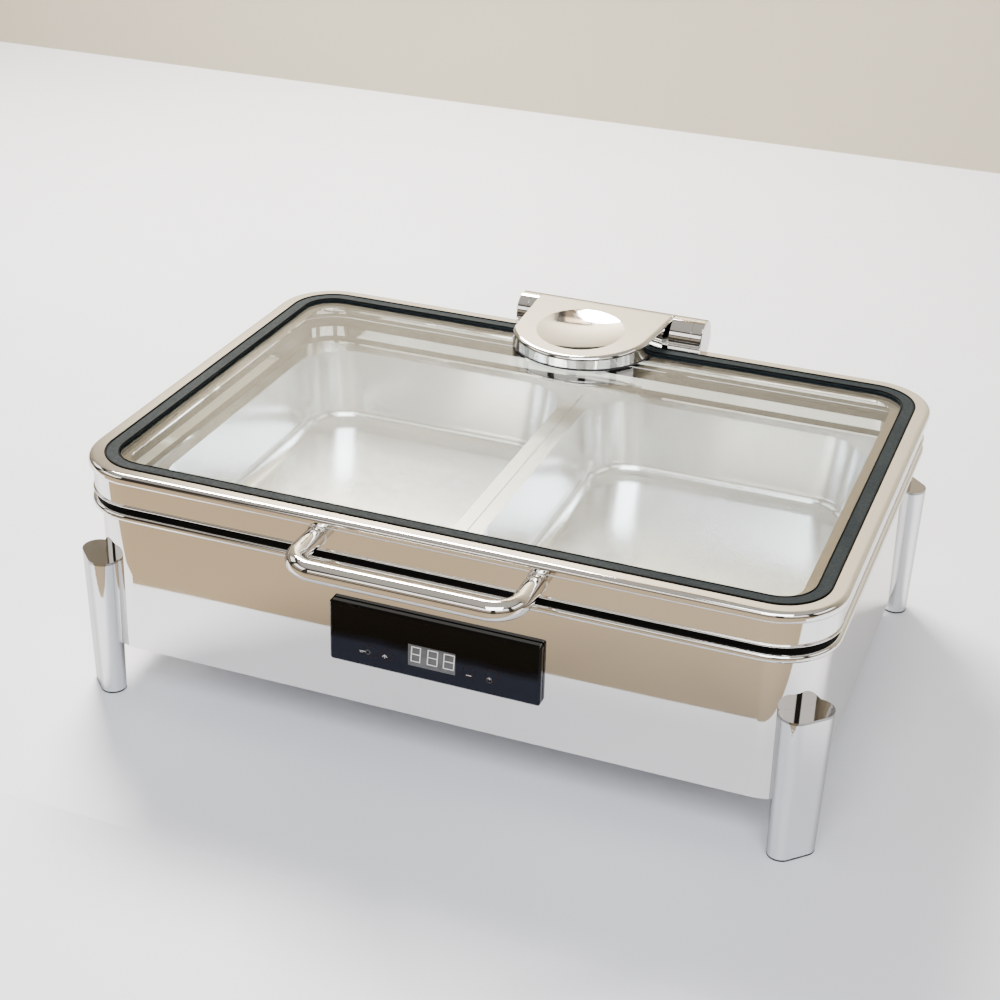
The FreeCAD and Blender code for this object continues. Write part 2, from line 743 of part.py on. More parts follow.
for corner, side_x, side_y, turn in CORNERS:
    face_turn = math.degrees(math.atan2(side_x, -side_y))
    rotation = FreeCAD.Rotation(FreeCAD.Vector(0, 1, 0), face_turn)
    holes = new_sketch(casing, "XZ_Plane", level=-side_y * corner_y, x=side_x * corner_x, turn=rotation)
    for level in (d.leg_bolt_low, d.leg_bolt_high):
        add_circle(holes, d.leg_bolt_diameter + SCREW_PLAY, y=level)
    pocket(casing, holes, d.casing_radius + THROUGH)

# Base plate: sits on the casing's lip, with slots that let the electrics breathe
base = new_body("base_plate")
plate_level = d.casing_bottom + d.casing_wall
plate_inset = d.casing_wall + FIT
rounded_plate(base, casing_width - 2 * plate_inset, casing_depth - 2 * plate_inset,
              d.casing_radius - plate_inset, plate_level, d.base_plate_thickness)
vent_run = (d.vent_rows - 1) * d.vent_pitch
vent = new_sketch(base, level=plate_level - OVERCUT, x=-vent_run / 2)
slot_turn = FreeCAD.Rotation(FreeCAD.Vector(0, 0, 1), QUARTER_TURN)
vent.AttachmentOffset = FreeCAD.Placement(vent.AttachmentOffset.Base, slot_turn)
add_oval(vent, d.vent_length, d.vent_width)
vent_cut = pocket(base, vent, THROUGH)
slots = base.newObject("PartDesign::LinearPattern", "vent_slots")
slots.Originals = [vent_cut]
x_axis = next(item for item in base.Origin.OriginFeatures if item.Role == "X_Axis")
slots.Direction = (x_axis, [""])
slots.Length = vent_run.value
slots.Occurrences = int(d.vent_rows.value)
bind(slots, "Length", vent_run)
bind(slots, "Occurrences", d.vent_rows)
base.Tip = slots


BASE_SCREW = {"head_diameter": 6.5, "head_height": 2.0, "shank_diameter": 3.4, "shank_length": 4.0}
BASE_SCREW_INSET = 8.0
SIDE_SCREW_SHARE = 0.23
END_SCREW_SHARE = 0.265


def rim_spots():
    """Eight places round the base plate's edge, two along each side."""
    far_x = casing_width / 2 - BASE_SCREW_INSET
    far_y = casing_back - BASE_SCREW_INSET
    near_x = casing_width * END_SCREW_SHARE
    near_y = casing_depth * SIDE_SCREW_SHARE
    spots = []
    for side in (-1, 1):
        spots += [(side * far_x, -near_y), (side * far_x, near_y)]
        spots += [(-near_x, side * far_y), (near_x, side * far_y)]
    return spots


base_screws = []
screw_holes = new_sketch(base, level=plate_level - OVERCUT)
lip_holes = new_sketch(casing, level=d.casing_bottom - OVERCUT)
for x, y in rim_spots():
    under = (x.value, y.value, d.casing_bottom.value)
    base_screws.append(screw(**BASE_SCREW, start=under, direction=(0, 0, 1)))
    add_circle(screw_holes, BASE_SCREW["shank_diameter"] + SCREW_PLAY, x=x, y=y)
    add_circle(lip_holes, BASE_SCREW["shank_diameter"] + SCREW_PLAY, x=x, y=y)
pocket(base, screw_holes, THROUGH)
pocket(casing, lip_holes, OVERCUT + 2 * d.casing_wall)
add_shape("base_plate_screws", Part.makeCompound(base_screws))

# Water pan: a deep basin, a ledge that carries the food pans, and the rolled rim over the casing
water = new_body("water_pan")
basin_height = ledge_height - basin_floor
rounded_plate(water, basin_width, basin_depth, d.basin_radius, basin_floor, basin_height)
LEDGE_LAP = 1.0
ledge_inset = d.rim_band - LEDGE_LAP
ledge_width = rim_width - 2 * ledge_inset
ledge_depth = rim_depth - 2 * ledge_inset
ledge_radius = d.rim_radius - ledge_inset
rounded_plate(water, ledge_width, ledge_depth, ledge_radius, ledge_height, d.pan_sheet)
rounded_ring(water, rim_width, rim_depth, d.rim_radius, d.rim_band, rim_top - d.rim_height, d.rim_height)
BASIN_ROUND = 12.0
RIM_ROUND = 3.0
inner_width = basin_width - 2 * d.pan_sheet
inner_depth = basin_depth - 2 * d.pan_sheet
inner_radius = d.basin_radius - d.pan_sheet
inner_floor = basin_floor + d.pan_sheet
rounded_cut(water, inner_width, inner_depth, inner_radius, inner_floor, rim_top)
inner_edge = outline(inner_width, inner_depth, inner_radius, inner_floor)
dress(water, "Fillet", BASIN_ROUND - d.pan_sheet, inner_edge)
dress(water, "Fillet", BASIN_ROUND, outline(basin_width, basin_depth, d.basin_radius, basin_floor))
for level in (rim_top, rim_top - d.rim_height):
    dress(water, "Fillet", RIM_ROUND, outline(rim_width, rim_depth, d.rim_radius, level))

# Lid seal: a black silicone strip that stands on the rim and stops just under the lid's skirt
seal = new_body("lid_seal")
rounded_ring(seal, rim_width - 2 * d.seal_setback, rim_depth - 2 * d.seal_setback,
             d.rim_radius - d.seal_setback, d.seal_width, rim_top,
             lid_bottom - d.lid_clearance - rim_top)

# Pan support bar: an upturned channel across the middle of the basin
bar = new_body("pan_support_bar")
BAR_SHEET = 1.5
bar_bottom = pan_seat - d.bar_height
bar_sketch = new_sketch(bar, level=bar_bottom)
add_rectangle(bar_sketch, d.bar_width, inner_depth)
pad(bar, bar_sketch, d.bar_height)
channel = new_sketch(bar, level=bar_bottom - OVERCUT)
add_rectangle(channel, d.bar_width - 2 * BAR_SHEET, inner_depth + 2 * OVERCUT)
pocket(bar, channel, d.bar_height - BAR_SHEET + OVERCUT)

# Food pans: two half-size gastronorm pans with sloping walls and flat flanges
PAN_FLOOR_ROUND = 14.0
PAN_FLANGE_RADIUS = 20.0
for side_name, side in (("left", -1), ("right", 1)):
    pan = new_body(side_name + "_food_pan", x=side * (d.food_pan_width + d.food_pan_gap) / 2)
    seat = pan_seat
    mouth_width = d.food_pan_width - 2 * d.food_pan_flange
    mouth_depth = d.food_pan_depth - 2 * d.food_pan_flange
    floor_level = pan_seat + d.food_pan_sheet - d.food_pan_height
    rounded_plate(pan, d.food_pan_width, d.food_pan_depth, PAN_FLANGE_RADIUS, seat, d.food_pan_sheet)
    skin = 2 * d.food_pan_sheet
    taper = 2 * d.food_pan_taper
    upper = new_sketch(pan, level=seat + d.food_pan_sheet / 2)
    add_rounded(upper, mouth_width + skin, mouth_depth + skin, d.food_pan_corner + d.food_pan_sheet)
    lower = new_sketch(pan, level=floor_level)
    add_rounded(lower, mouth_width + skin - taper, mouth_depth + skin - taper, d.food_pan_corner)
    loft(pan, "AdditiveLoft", lower, upper)
    inner_top = new_sketch(pan, level=seat + d.food_pan_sheet)
    add_rounded(inner_top, mouth_width, mouth_depth, d.food_pan_corner)
    inner_low = new_sketch(pan, level=floor_level + d.food_pan_sheet)
    add_rounded(inner_low, mouth_width - taper, mouth_depth - taper, d.food_pan_corner - d.food_pan_sheet)
    loft(pan, "SubtractiveLoft", inner_low, inner_top)
    dress(pan, "Fillet", PAN_FLOOR_ROUND - d.food_pan_sheet,
          outline(mouth_width - taper, mouth_depth - taper, d.food_pan_corner - d.food_pan_sheet,
                  floor_level + d.food_pan_sheet))
    dress(pan, "Fillet", PAN_FLOOR_ROUND, outline(mouth_width + skin - taper, mouth_depth + skin - taper,
                                                  d.food_pan_corner, floor_level))

# Lid frame: a polished hoop with a skirt, a rounded bead and a ledge under the glass
frame = new_body("lid_frame")
rounded_ring(frame, lid_skirt_width, lid_skirt_depth, d.lid_skirt_radius, d.lid_sheet, lid_bottom,
             lid_top - OVERCUT - lid_bottom)
bead_band = (bead_width - gasket_width) / 2
rounded_ring(frame, bead_width, bead_depth, bead_radius, bead_band, lid_top - d.lid_bead_height,
             d.lid_bead_height)
ledge_outer = lid_skirt_width - d.lid_sheet
frame_ledge_band = (ledge_outer - gasket_width) / 2 + d.lid_ledge_width
rounded_ring(frame, ledge_outer, lid_skirt_depth - d.lid_sheet, d.lid_skirt_radius - d.lid_sheet / 2,
             frame_ledge_band, frame_ledge, d.lid_sheet)
BEAD_TOP_ROUND = 4.2
BEAD_LOW_ROUND = 2.6
bead_bottom = lid_top - d.lid_bead_height
dress(frame, "Fillet", BEAD_TOP_ROUND, outline(bead_width, bead_depth, bead_radius, lid_top))
dress(frame, "Fillet", BEAD_LOW_ROUND, outline(bead_width, bead_depth, bead_radius, bead_bottom))
handle_holes = new_sketch(frame, "XZ_Plane", level=handle_root + OVERCUT)
HANDLE_SCREW = {"head_diameter": 9.0, "head_height": 2.2, "shank_diameter": 5.0, "shank_length": 11.0}
for side in (-1, 1):
    add_circle(handle_holes, HANDLE_SCREW["shank_diameter"] + FIT, x=side * d.handle_span / 2, y=handle_z)
pocket(frame, handle_holes, THROUGH, along=False)

# Glass gasket: slate rubber, grooved to take the edge of the glass
gasket = new_body("glass_gasket")
rounded_ring(gasket, gasket_width, gasket_depth, gasket_radius, d.gasket_band,
             frame_ledge + d.lid_sheet, lid_top - frame_ledge - d.lid_sheet)
glass_width = gasket_width - 2 * d.glass_inset
glass_depth = gasket_depth - 2 * d.glass_inset
glass_radius = gasket_radius - d.glass_inset
rounded_cut(gasket, glass_width, glass_depth, glass_radius, glass_bottom, d.glass_thickness)

# Lid glass: tempered, drilled for the hinge plate's bolts
glass = new_body("lid_glass")
rounded_plate(glass, glass_width, glass_depth, glass_radius, glass_bottom, d.glass_thickness)
LID_BOLT_X = 28.0
LID_BOLT_ROWS = (24.0, 42.0)
LID_BOLTS = [(d.nose_x + side * LID_BOLT_X, cover_front + row)
             for side in (-1, 1) for row in LID_BOLT_ROWS]
BOLT_SLEEVE = 2.0


def drill(body, places, diameter, level):
    """Round holes straight up through a plate that starts at a level."""
    sketch = new_sketch(body, level=level - OVERCUT)
    for x, y in places:
        add_circle(sketch, diameter, x=x, y=y)
    pocket(body, sketch, THROUGH)


drill(glass, LID_BOLTS, d.lid_bolt_diameter + BOLT_SLEEVE, glass_bottom)

# Handle: bent round tube with a threaded insert in each end
handle = new_body("lid_handle")
path = new_sketch(handle, level=handle_z)
half_span = d.handle_span / 2
up = FreeCAD.Vector(0, 0, 1)
hx, hy0, hy1, hr = half_span.value, -handle_root.value, -handle_front.value, d.handle_bend.value
path.addGeometry(Part.LineSegment(FreeCAD.Vector(-hx, hy0, 0), FreeCAD.Vector(-hx, hy1 + hr, 0)))
path.addGeometry(Part.ArcOfCircle(Part.Circle(FreeCAD.Vector(-hx + hr, hy1 + hr, 0), up, hr),
                                  math.pi, 1.5 * math.pi))
path.addGeometry(Part.LineSegment(FreeCAD.Vector(-hx + hr, hy1, 0), FreeCAD.Vector(hx - hr, hy1, 0)))
path.addGeometry(Part.ArcOfCircle(Part.Circle(FreeCAD.Vector(hx - hr, hy1 + hr, 0), up, hr),
                                  1.5 * math.pi, 2 * math.pi))
path.addGeometry(Part.LineSegment(FreeCAD.Vector(hx, hy1 + hr, 0), FreeCAD.Vector(hx, hy0, 0)))
path.addConstraint([
    Sketcher.Constraint("Tangent", 0, 2, 1, 1),
    Sketcher.Constraint("Tangent", 1, 2, 2, 1),
    Sketcher.Constraint("Tangent", 2, 2, 3, 1),
    Sketcher.Constraint("Tangent", 3, 2, 4, 1),
    Sketcher.Constraint("Vertical", 0),
    Sketcher.Constraint("Vertical", 4),
    Sketcher.Constraint("Horizontal", 2),
    Sketcher.Constraint("Equal", 1, 3),
])
drive(path, "DistanceX", 0, 1, -1, 1, size=half_span)
drive(path, "DistanceX", -1, 1, 4, 2, size=half_span)
drive(path, "DistanceY", 0, 1, -1, 1, size=handle_root)
drive(path, "DistanceY", 4, 2, -1, 1, size=handle_root)
drive(path, "DistanceY", 2, 1, -1, 1, size=handle_front)
drive(path, "Radius", 1, size=d.handle_bend)
HANDLE_WALL = 1.5
profile = new_sketch(handle, "XZ_Plane", level=handle_root, x=-half_span, y=handle_z)
add_circle(profile, d.handle_diameter)
add_circle(profile, d.handle_diameter - 2 * HANDLE_WALL)
bar_pipe = handle.newObject("PartDesign::AdditivePipe", "handle_pipe")
bar_pipe.Profile = profile
bar_pipe.Spine = path
bar_pipe.SpineTangent = False
handle.Tip = bar_pipe


INSERT_LENGTH = 14.0


def handle_inserts():
    """Threaded plugs in the ends of the handle tube."""
    solids = []
    radius = d.handle_diameter.value / 2 - HANDLE_WALL
    for side in (-1, 1):
        start = FreeCAD.Vector(side * half_span.value, -handle_root.value, handle_z.value)
        outward = FreeCAD.Vector(0, -1, 0)
        plug = Part.makeCylinder(radius, INSERT_LENGTH, start, outward)
        thread = Part.makeCylinder(HANDLE_SCREW["shank_diameter"] / 2, INSERT_LENGTH, start, outward)
        solids.append(plug.cut(thread))
    return Part.makeCompound(solids)


def handle_screws():
    """One screw a side, from inside the skirt."""
    solids = []
    for side in (-1, 1):
        start = (side * half_span.value, -handle_root.value + d.lid_sheet.value, handle_z.value)
        solids.append(screw(**HANDLE_SCREW, start=start, direction=(0, -1, 0)))
    return Part.makeCompound(solids)


add_shape("handle_inserts", handle_inserts())
add_shape("handle_screws", handle_screws())

# Hinge bracket: a hat-shaped plate on the casing's back with two arms and the fixed knuckles
bracket = new_body("hinge_bracket")
t = d.bracket_thickness
foot_low, foot_high = bracket_foot_low, bracket_foot_high
hat = [
    (casing_back, foot_low - LOWER_FLANGE),
    (casing_back + t, foot_low - LOWER_FLANGE),
    (casing_back + t, foot_low),
    (bracket_y + t, foot_low),
    (bracket_y + t, foot_high),
    (casing_back + t, foot_high),
    (casing_back + t, foot_high + UPPER_FLANGE),
    (casing_back, foot_high + UPPER_FLANGE),
    (casing_back, foot_high - t),
    (bracket_y, foot_high - t),
    (bracket_y, foot_low + t),
    (casing_back, foot_low + t),
]
hat_sketch = new_sketch(bracket, "YZ_Plane")
add_polygon(hat_sketch, hat)
pad(bracket, hat_sketch, 2 * knuckle_end, midplane=True)
KNUCKLES = [(-knuckle_end, left_knuckle_end + knuckle_end),
            (right_knuckle_start, knuckle_end - right_knuckle_start)]
for level, knuckle_length in KNUCKLES:
    arm = new_sketch(bracket, "YZ_Plane", level=level)
    arm_low, arm_high = foot_high - t, hinge_z
    add_polygon(arm, [(bracket_y, arm_low), (bracket_y + t, arm_low), (bracket_y + t, arm_high),
                      (bracket_y, arm_high)])
    pad(bracket, arm, knuckle_length)
    knuckle = new_sketch(bracket, "YZ_Plane", level=level, x=hinge_y, y=hinge_z)
    add_circle(knuckle, d.barrel_diameter)
    pad(bracket, knuckle, knuckle_length)
bore = new_sketch(bracket, "YZ_Plane", x=hinge_y, y=hinge_z)
add_circle(bore, d.pin_diameter)
pocket(bracket, bore, 2 * barrel_end, midplane=True)
flange_holes = new_sketch(bracket, "XZ_Plane", level=OVERCUT - casing_back)
for side in (-1, 1):
    for level in (bracket_low, bracket_high):
        add_circle(flange_holes, bracket_hole, x=side * bracket_screw_x, y=level)
pocket(bracket, flange_holes, THROUGH, along=False)


def bracket_screws():
    """Four screws through the bracket's flanges into the casing's back wall."""
    solids = []
    for side in (-1, 1):
        for level in (bracket_low.value, bracket_high.value):
            x = side * bracket_screw_x.value
            outer = casing_back.value + d.bracket_thickness.value
            solids.append(screw(**BRACKET_SCREW, start=(x, outer, level), direction=(0, -1, 0)))
    return Part.makeCompound(solids)


add_shape("hinge_bracket_screws", bracket_screws())

# Hinge pin: one shaft through both fixed knuckles and the lid's barrel
pin = new_body("hinge_pin")
PIN_TAIL = 4.0
pin_sketch = new_sketch(pin, "YZ_Plane", x=hinge_y, y=hinge_z)
add_circle(pin_sketch, d.pin_diameter)
pad(pin, pin_sketch, 2 * (knuckle_end + PIN_TAIL), midplane=True)

# Hinge end caps: polished discs pressed on the pin's ends
CAP_BEVEL = 0.8
CAP_JOINT = 0.4
for side_name, level in (("left", -barrel_end), ("right", knuckle_end)):
    cap = new_body(side_name + "_hinge_cap")
    disc = new_sketch(cap, "YZ_Plane", level=level, x=hinge_y, y=hinge_z)
    add_circle(disc, d.barrel_diameter)
    pad(cap, disc, d.end_cap_length)
    outer_level, joint_level = barrel_end, knuckle_end
    if side_name == "left":
        outer_level, joint_level = -barrel_end, -knuckle_end
    for size, rim_level in ((CAP_BEVEL, outer_level), (CAP_JOINT, joint_level)):

        def disc_rim(edge, place=rim_level.value):
            box = edge.BoundBox
            return abs(box.XMin - place) < 0.01 and abs(box.XMax - place) < 0.01

        dress(cap, "Chamfer", size, disc_rim)
    socket_level = -knuckle_end - PIN_TAIL if side_name == "left" else knuckle_end - OVERCUT
    socket = new_sketch(cap, "YZ_Plane", level=socket_level, x=hinge_y, y=hinge_z)
    add_circle(socket, d.pin_diameter)
    pocket(cap, socket, PIN_TAIL + OVERCUT)

# Hinge barrel: the lid's own tube, with a bush in each end
BARREL_RELIEF = 3.6
barrel_half = cover_half - d.cover_wall - BARREL_RELIEF
barrel = new_body("hinge_barrel", x=d.cover_x)
barrel_sketch = new_sketch(barrel, "YZ_Plane", x=hinge_y, y=hinge_z)
add_circle(barrel_sketch, 2 * lid_knuckle_radius)
add_circle(barrel_sketch, d.bore_diameter)
pad(barrel, barrel_sketch, 2 * barrel_half, midplane=True)
for side_name, level in (("left", -barrel_half), ("right", barrel_half - d.bush_length)):
    bush = new_body(side_name + "_hinge_bush", x=d.cover_x)
    ring = new_sketch(bush, "YZ_Plane", level=level, x=hinge_y, y=hinge_z)
    add_circle(ring, d.bore_diameter)
    add_circle(ring, d.pin_diameter + 2 * d.pin_clearance)
    pad(bush, ring, d.bush_length)

# Damper: an oil-filled rotary cartridge in the left half of the barrel
damper = new_body("hinge_damper", x=d.cover_x)
damper_start = d.bush_length - barrel_half
damper_sketch = new_sketch(damper, "YZ_Plane", level=damper_start, x=hinge_y, y=hinge_z)
add_circle(damper_sketch, d.bore_diameter)
add_circle(damper_sketch, d.pin_diameter + 2 * FIT)
pad(damper, damper_sketch, d.damper_length)


def torsion_spring():
    """The counterbalance coil, between the damper and the right bush."""
    wire, radius, turns = 1.8, 7.0, 20
    start = (damper_start + d.damper_length).value
    length = (barrel_half - d.bush_length).value - start
    pitch = (length - wire) / turns
    helix = Part.makeLongHelix(pitch, length - wire, radius)
    section = Part.Circle(FreeCAD.Vector(radius, 0, 0), FreeCAD.Vector(0, 1, 0), wire / 2).toShape()
    coil = Part.Wire(helix.Edges).makePipeShell([Part.Wire(section)], True, True)
    turn = FreeCAD.Rotation(FreeCAD.Vector(0, 0, 1), FreeCAD.Vector(1, 0, 0))
    place = FreeCAD.Vector(d.cover_x.value + start + wire / 2, hinge_y.value, hinge_z.value)
    coil.Placement = FreeCAD.Placement(place, turn)
    return Part.makeCompound([coil])


add_shape("hinge_spring", torsion_spring())

# Hinge plate on the glass, its rubber pad, and the plate under the glass
lid_plate = new_body("hinge_lid_plate")
PLATE_SETBACK = 15.0
plate_front = cover_front + PLATE_SETBACK
plate_back = hinge_y - lid_knuckle_radius / 2
plate_sketch = new_sketch(lid_plate, level=plate_bottom)
add_rectangle(plate_sketch, d.lid_plate_width, plate_back - plate_front,
              x=d.nose_x, y=(plate_back + plate_front) / 2)
pad(lid_plate, plate_sketch, d.lid_plate_thickness)
saddle_cut = new_sketch(lid_plate, "YZ_Plane", x=hinge_y, y=hinge_z)
add_circle(saddle_cut, 2 * lid_knuckle_radius)
pocket(lid_plate, saddle_cut, 2 * cover_half, midplane=True)
drill(lid_plate, LID_BOLTS, d.lid_bolt_diameter + SCREW_PLAY, plate_bottom)

PAD_INSET = 0.4
PAD_GAP = 2.0
pad_back = gasket_depth / 2 - d.gasket_band - PAD_GAP
rubber = new_body("hinge_pad")
pad_half = cover_half - PAD_INSET
pad_centre = cover_front + cover_half
add_rubber = new_sketch(rubber, level=glass_top)
add_circle(add_rubber, 2 * pad_half, x=d.nose_x, y=pad_centre)
pad(rubber, add_rubber, plate_bottom - glass_top)
trim = new_sketch(rubber, level=glass_top - OVERCUT)
add_rectangle(trim, 4 * cover_half, 2 * cover_half, y=pad_back + cover_half)
pocket(rubber, trim, THROUGH)
drill(rubber, LID_BOLTS, d.lid_bolt_diameter + BOLT_SLEEVE, glass_top)

BACKING_DEPTH = 36.0
backing_back = plate_front + BACKING_DEPTH
backing = new_body("hinge_backing_plate")
backing_level = glass_bottom - d.lid_plate_thickness
backing_sketch = new_sketch(backing, level=backing_level)
add_rectangle(backing_sketch, d.lid_plate_width, BACKING_DEPTH,
              x=d.nose_x, y=plate_front + BACKING_DEPTH / 2)
pad(backing, backing_sketch, d.lid_plate_thickness)
drill(backing, LID_BOLTS, d.lid_bolt_diameter + SCREW_PLAY, backing_level)
LID_BOLT_HEAD = (9.0, 2.6)
LID_BOLT_TAIL = 4.5
LID_NUT = (8.0, 3.6)


def lid_bolts():
    """Four low-headed bolts down through plate, pad, glass and backing plate, with their nuts."""
    solids = []
    grip = (plate_top - backing_level).value
    for x, y in LID_BOLTS:
        bolt = screw(*LID_BOLT_HEAD, d.lid_bolt_diameter.value, grip + LID_BOLT_TAIL,
                     (x.value, y.value, plate_top.value), (0, 0, -1))
        fixing = nut(*LID_NUT, d.lid_bolt_diameter.value, (x.value, y.value, backing_level.value),
                     (0, 0, -1))
        solids.append(bolt.fuse(fixing).removeSplitter())
    return Part.makeCompound(solids)


add_shape("hinge_lid_bolts", lid_bolts())


COVER_SKIRT = 9.0
COVER_LEAD = 2.0
PIN_PLAY = 1.0


def hinge_cover():
    """A pressed shell: its top slopes up from the front and runs over the barrel.

    The plan is a tongue: a round nose, set a little to the left, with tangents to the barrel's
    two ends.  The side view is a sloping line that meets a circle about the hinge axis at a
    tangent.  A shallow dish is sunk in the top.  Behind the hinge axis the ends stay square.
    """
    y0, z0 = hinge_y.value, hinge_z.value
    nose_shift = (d.nose_x - d.cover_x).value
    low = plate_bottom.value

    def side_block(radius, front, front_top, back_low, half):
        lift = math.hypot(y0 - front, z0 - front_top)
        base_angle = math.atan2(z0 - front_top, y0 - front)
        tangent_angle = base_angle + math.asin(radius / lift)
        touch_y = y0 - radius * math.sin(tangent_angle)
        touch_z = z0 + radius * math.cos(tangent_angle)
        quarter = radius * DIAGONAL
        points = [FreeCAD.Vector(0, front, low), FreeCAD.Vector(0, front, front_top),
                  FreeCAD.Vector(0, touch_y, touch_z)]
        arc = Part.Arc(points[-1], FreeCAD.Vector(0, y0 + quarter, z0 + quarter),
                       FreeCAD.Vector(0, y0 + radius, z0)).toShape()
        end = FreeCAD.Vector(0, y0 + radius, back_low)
        edges = [Part.LineSegment(points[0], points[1]).toShape(),
                 Part.LineSegment(points[1], points[2]).toShape(), arc,
                 Part.LineSegment(FreeCAD.Vector(0, y0 + radius, z0), end).toShape(),
                 Part.LineSegment(end, FreeCAD.Vector(0, y0, back_low)).toShape(),
                 Part.LineSegment(FreeCAD.Vector(0, y0, back_low), FreeCAD.Vector(0, y0, low)).toShape(),
                 Part.LineSegment(FreeCAD.Vector(0, y0, low), points[0]).toShape()]
        face = Part.Face(Part.Wire(edges))
        face.translate(FreeCAD.Vector(-half, 0, 0))
        return face.extrude(FreeCAD.Vector(2 * half, 0, 0)), tangent_angle

    def tongue(half, front):
        """The plan, cut square at the hinge axis, as a tall block."""
        centre_y, bottom, tall = front + half, low - 20, 60
        corners = []
        for side in (1, -1):
            run, rise = side * half - nose_shift, y0 - centre_y
            opening = math.acos(half / math.hypot(run, rise))
            turn = math.atan2(rise, run) - side * opening
            corners.append([FreeCAD.Vector(nose_shift + half * math.cos(turn),
                                           centre_y + half * math.sin(turn), bottom),
                            FreeCAD.Vector(side * half, y0, bottom)])
        right, left = corners
        nose = Part.Arc(left[0], FreeCAD.Vector(nose_shift, front, bottom), right[0]).toShape()
        rest = Part.makePolygon([right[0], right[1], left[1], left[0]]).Edges
        plan = Part.Face(Part.Wire(Part.__sortEdges__([nose] + rest)))
        return plan.extrude(FreeCAD.Vector(0, 0, tall))

    def behind(half, start):
        """Everything behind the hinge axis between the two ends, as a tall block."""
        return Part.makeBox(2 * half, 2 * half, 60, FreeCAD.Vector(-half, start, low - 20))

    wall = d.cover_wall.value
    front, half = cover_front.value, cover_half.value
    back_low = z0 - COVER_SKIRT
    nose = front - COVER_LEAD
    outer, slope = side_block(barrel_radius.value, nose, cover_top.value, back_low, half)
    whole = outer
    outer = whole.common(tongue(half, front)).removeSplitter()
    rim_edges = []
    for edge in outer.Edges:
        middle = edge.valueAt((edge.FirstParameter + edge.LastParameter) / 2)
        top_here = cover_top.value + (middle.y - nose) * math.tan(slope)
        if middle.y < front + half and abs(middle.z - top_here) < 0.6:
            rim_edges.append(edge)
    outer = outer.makeFillet(d.cover_edge_round.value, rim_edges)
    outer = outer.fuse(whole.common(behind(half, y0))).removeSplitter()
    inner, slope_in = side_block(barrel_radius.value - wall, nose + wall, cover_top.value - wall,
                                 back_low - OVERCUT, half - wall)
    inner_plan = tongue(half - wall, front + wall).fuse(behind(half - wall, y0)).removeSplitter()
    inner = inner.common(inner_plan).removeSplitter()
    inner = inner.fuse(inner.translated(FreeCAD.Vector(0, 0, -OVERCUT)))
    dish_y = front + d.dish_setback.value
    top_z = cover_top.value + (dish_y - nose) * math.tan(slope)
    sphere_radius = (d.dish_radius.value ** 2 + d.dish_depth.value ** 2) / (2 * d.dish_depth.value)
    lift = sphere_radius - d.dish_depth.value
    centre = FreeCAD.Vector(nose_shift, dish_y - lift * math.sin(slope), top_z + lift * math.cos(slope))
    shell = outer.cut(Part.makeSphere(sphere_radius, centre))
    hollow = inner.cut(Part.makeSphere(sphere_radius + wall, centre))
    shell = shell.cut(hollow)
    pin_way = Part.makeCylinder(d.pin_diameter.value / 2 + PIN_PLAY, 4 * half,
                                FreeCAD.Vector(-2 * half, y0, z0), FreeCAD.Vector(1, 0, 0))
    shell = shell.cut(pin_way).translated(FreeCAD.Vector(d.cover_x.value, 0, 0))
    return Part.makeCompound([shell])


add_shape("hinge_cover", hinge_cover())

# Panel housing: a plastic tray through the front wall, with four posts for the board
FLANGE_INSET = 2.0
PANEL_RADIUS = 2.0
housing = new_body("panel_housing", x=d.panel_x)
flange = new_sketch(housing, "XZ_Plane", level=casing_back, y=d.panel_middle)
add_rounded(flange, d.panel_width - 2 * FLANGE_INSET, d.panel_height - 2 * FLANGE_INSET, PANEL_RADIUS)
pad(housing, flange, d.housing_flange)
tray = new_sketch(housing, "XZ_Plane", level=housing_inner, y=d.panel_middle)
add_rounded(tray, housing_width, housing_height, HOUSING_RADIUS)
pad(housing, tray, d.housing_depth + d.housing_flange / 2)
hollow = new_sketch(housing, "XZ_Plane", level=housing_inner + d.housing_wall, y=d.panel_middle)
hollow_width = housing_width - 2 * d.housing_wall
hollow_height = housing_height - 2 * d.housing_wall
add_rounded(hollow, hollow_width, hollow_height, HOUSING_RADIUS - d.housing_wall)
pocket(housing, hollow, d.housing_depth + THROUGH)
POST_DIAMETER = 6.0
POST_INSET = 5.0
POST_ROOT = 0.5
PILOT_START = 1.5
BOARD_SCREW = {"head_diameter": 4.2, "head_height": 1.4, "shank_diameter": 2.4, "shank_length": 6.0}
post_level = housing_inner + d.housing_wall - POST_ROOT
post_length = board_face - d.board_thickness - post_level
post_x = hollow_width / 2 - POST_INSET
post_y = hollow_height / 2 - POST_INSET
POSTS = [(-1, -1), (1, -1), (-1, 1), (1, 1)]
for side_x, side_y in POSTS:
    post = new_sketch(housing, "XZ_Plane", level=post_level, y=d.panel_middle)
    add_circle(post, POST_DIAMETER, x=side_x * post_x, y=side_y * post_y)
    pad(housing, post, post_length)
pilot = new_sketch(housing, "XZ_Plane", level=post_level + PILOT_START, y=d.panel_middle)
for side_x, side_y in POSTS:
    add_circle(pilot, BOARD_SCREW["shank_diameter"], x=side_x * post_x, y=side_y * post_y)
pocket(housing, pilot, post_length)
LEAD_HOLE_X = 40.0
LEAD_HOLE = 9.0
lead_hole = new_sketch(housing, "XZ_Plane", level=housing_inner + 2 * d.housing_wall,
                       x=LEAD_HOLE_X, y=d.panel_middle)
add_circle(lead_hole, LEAD_HOLE)
pocket(housing, lead_hole, THROUGH, along=False)

# Panel glass: black, bevelled round its front face
panel = new_body("panel_glass", x=d.panel_x)
panel_sketch = new_sketch(panel, "XZ_Plane", level=panel_back, y=d.panel_middle)
add_rounded(panel_sketch, d.panel_width, d.panel_height, PANEL_RADIUS)
pad(panel, panel_sketch, d.panel_thickness)
panel_face = -(panel_back + d.panel_thickness).value


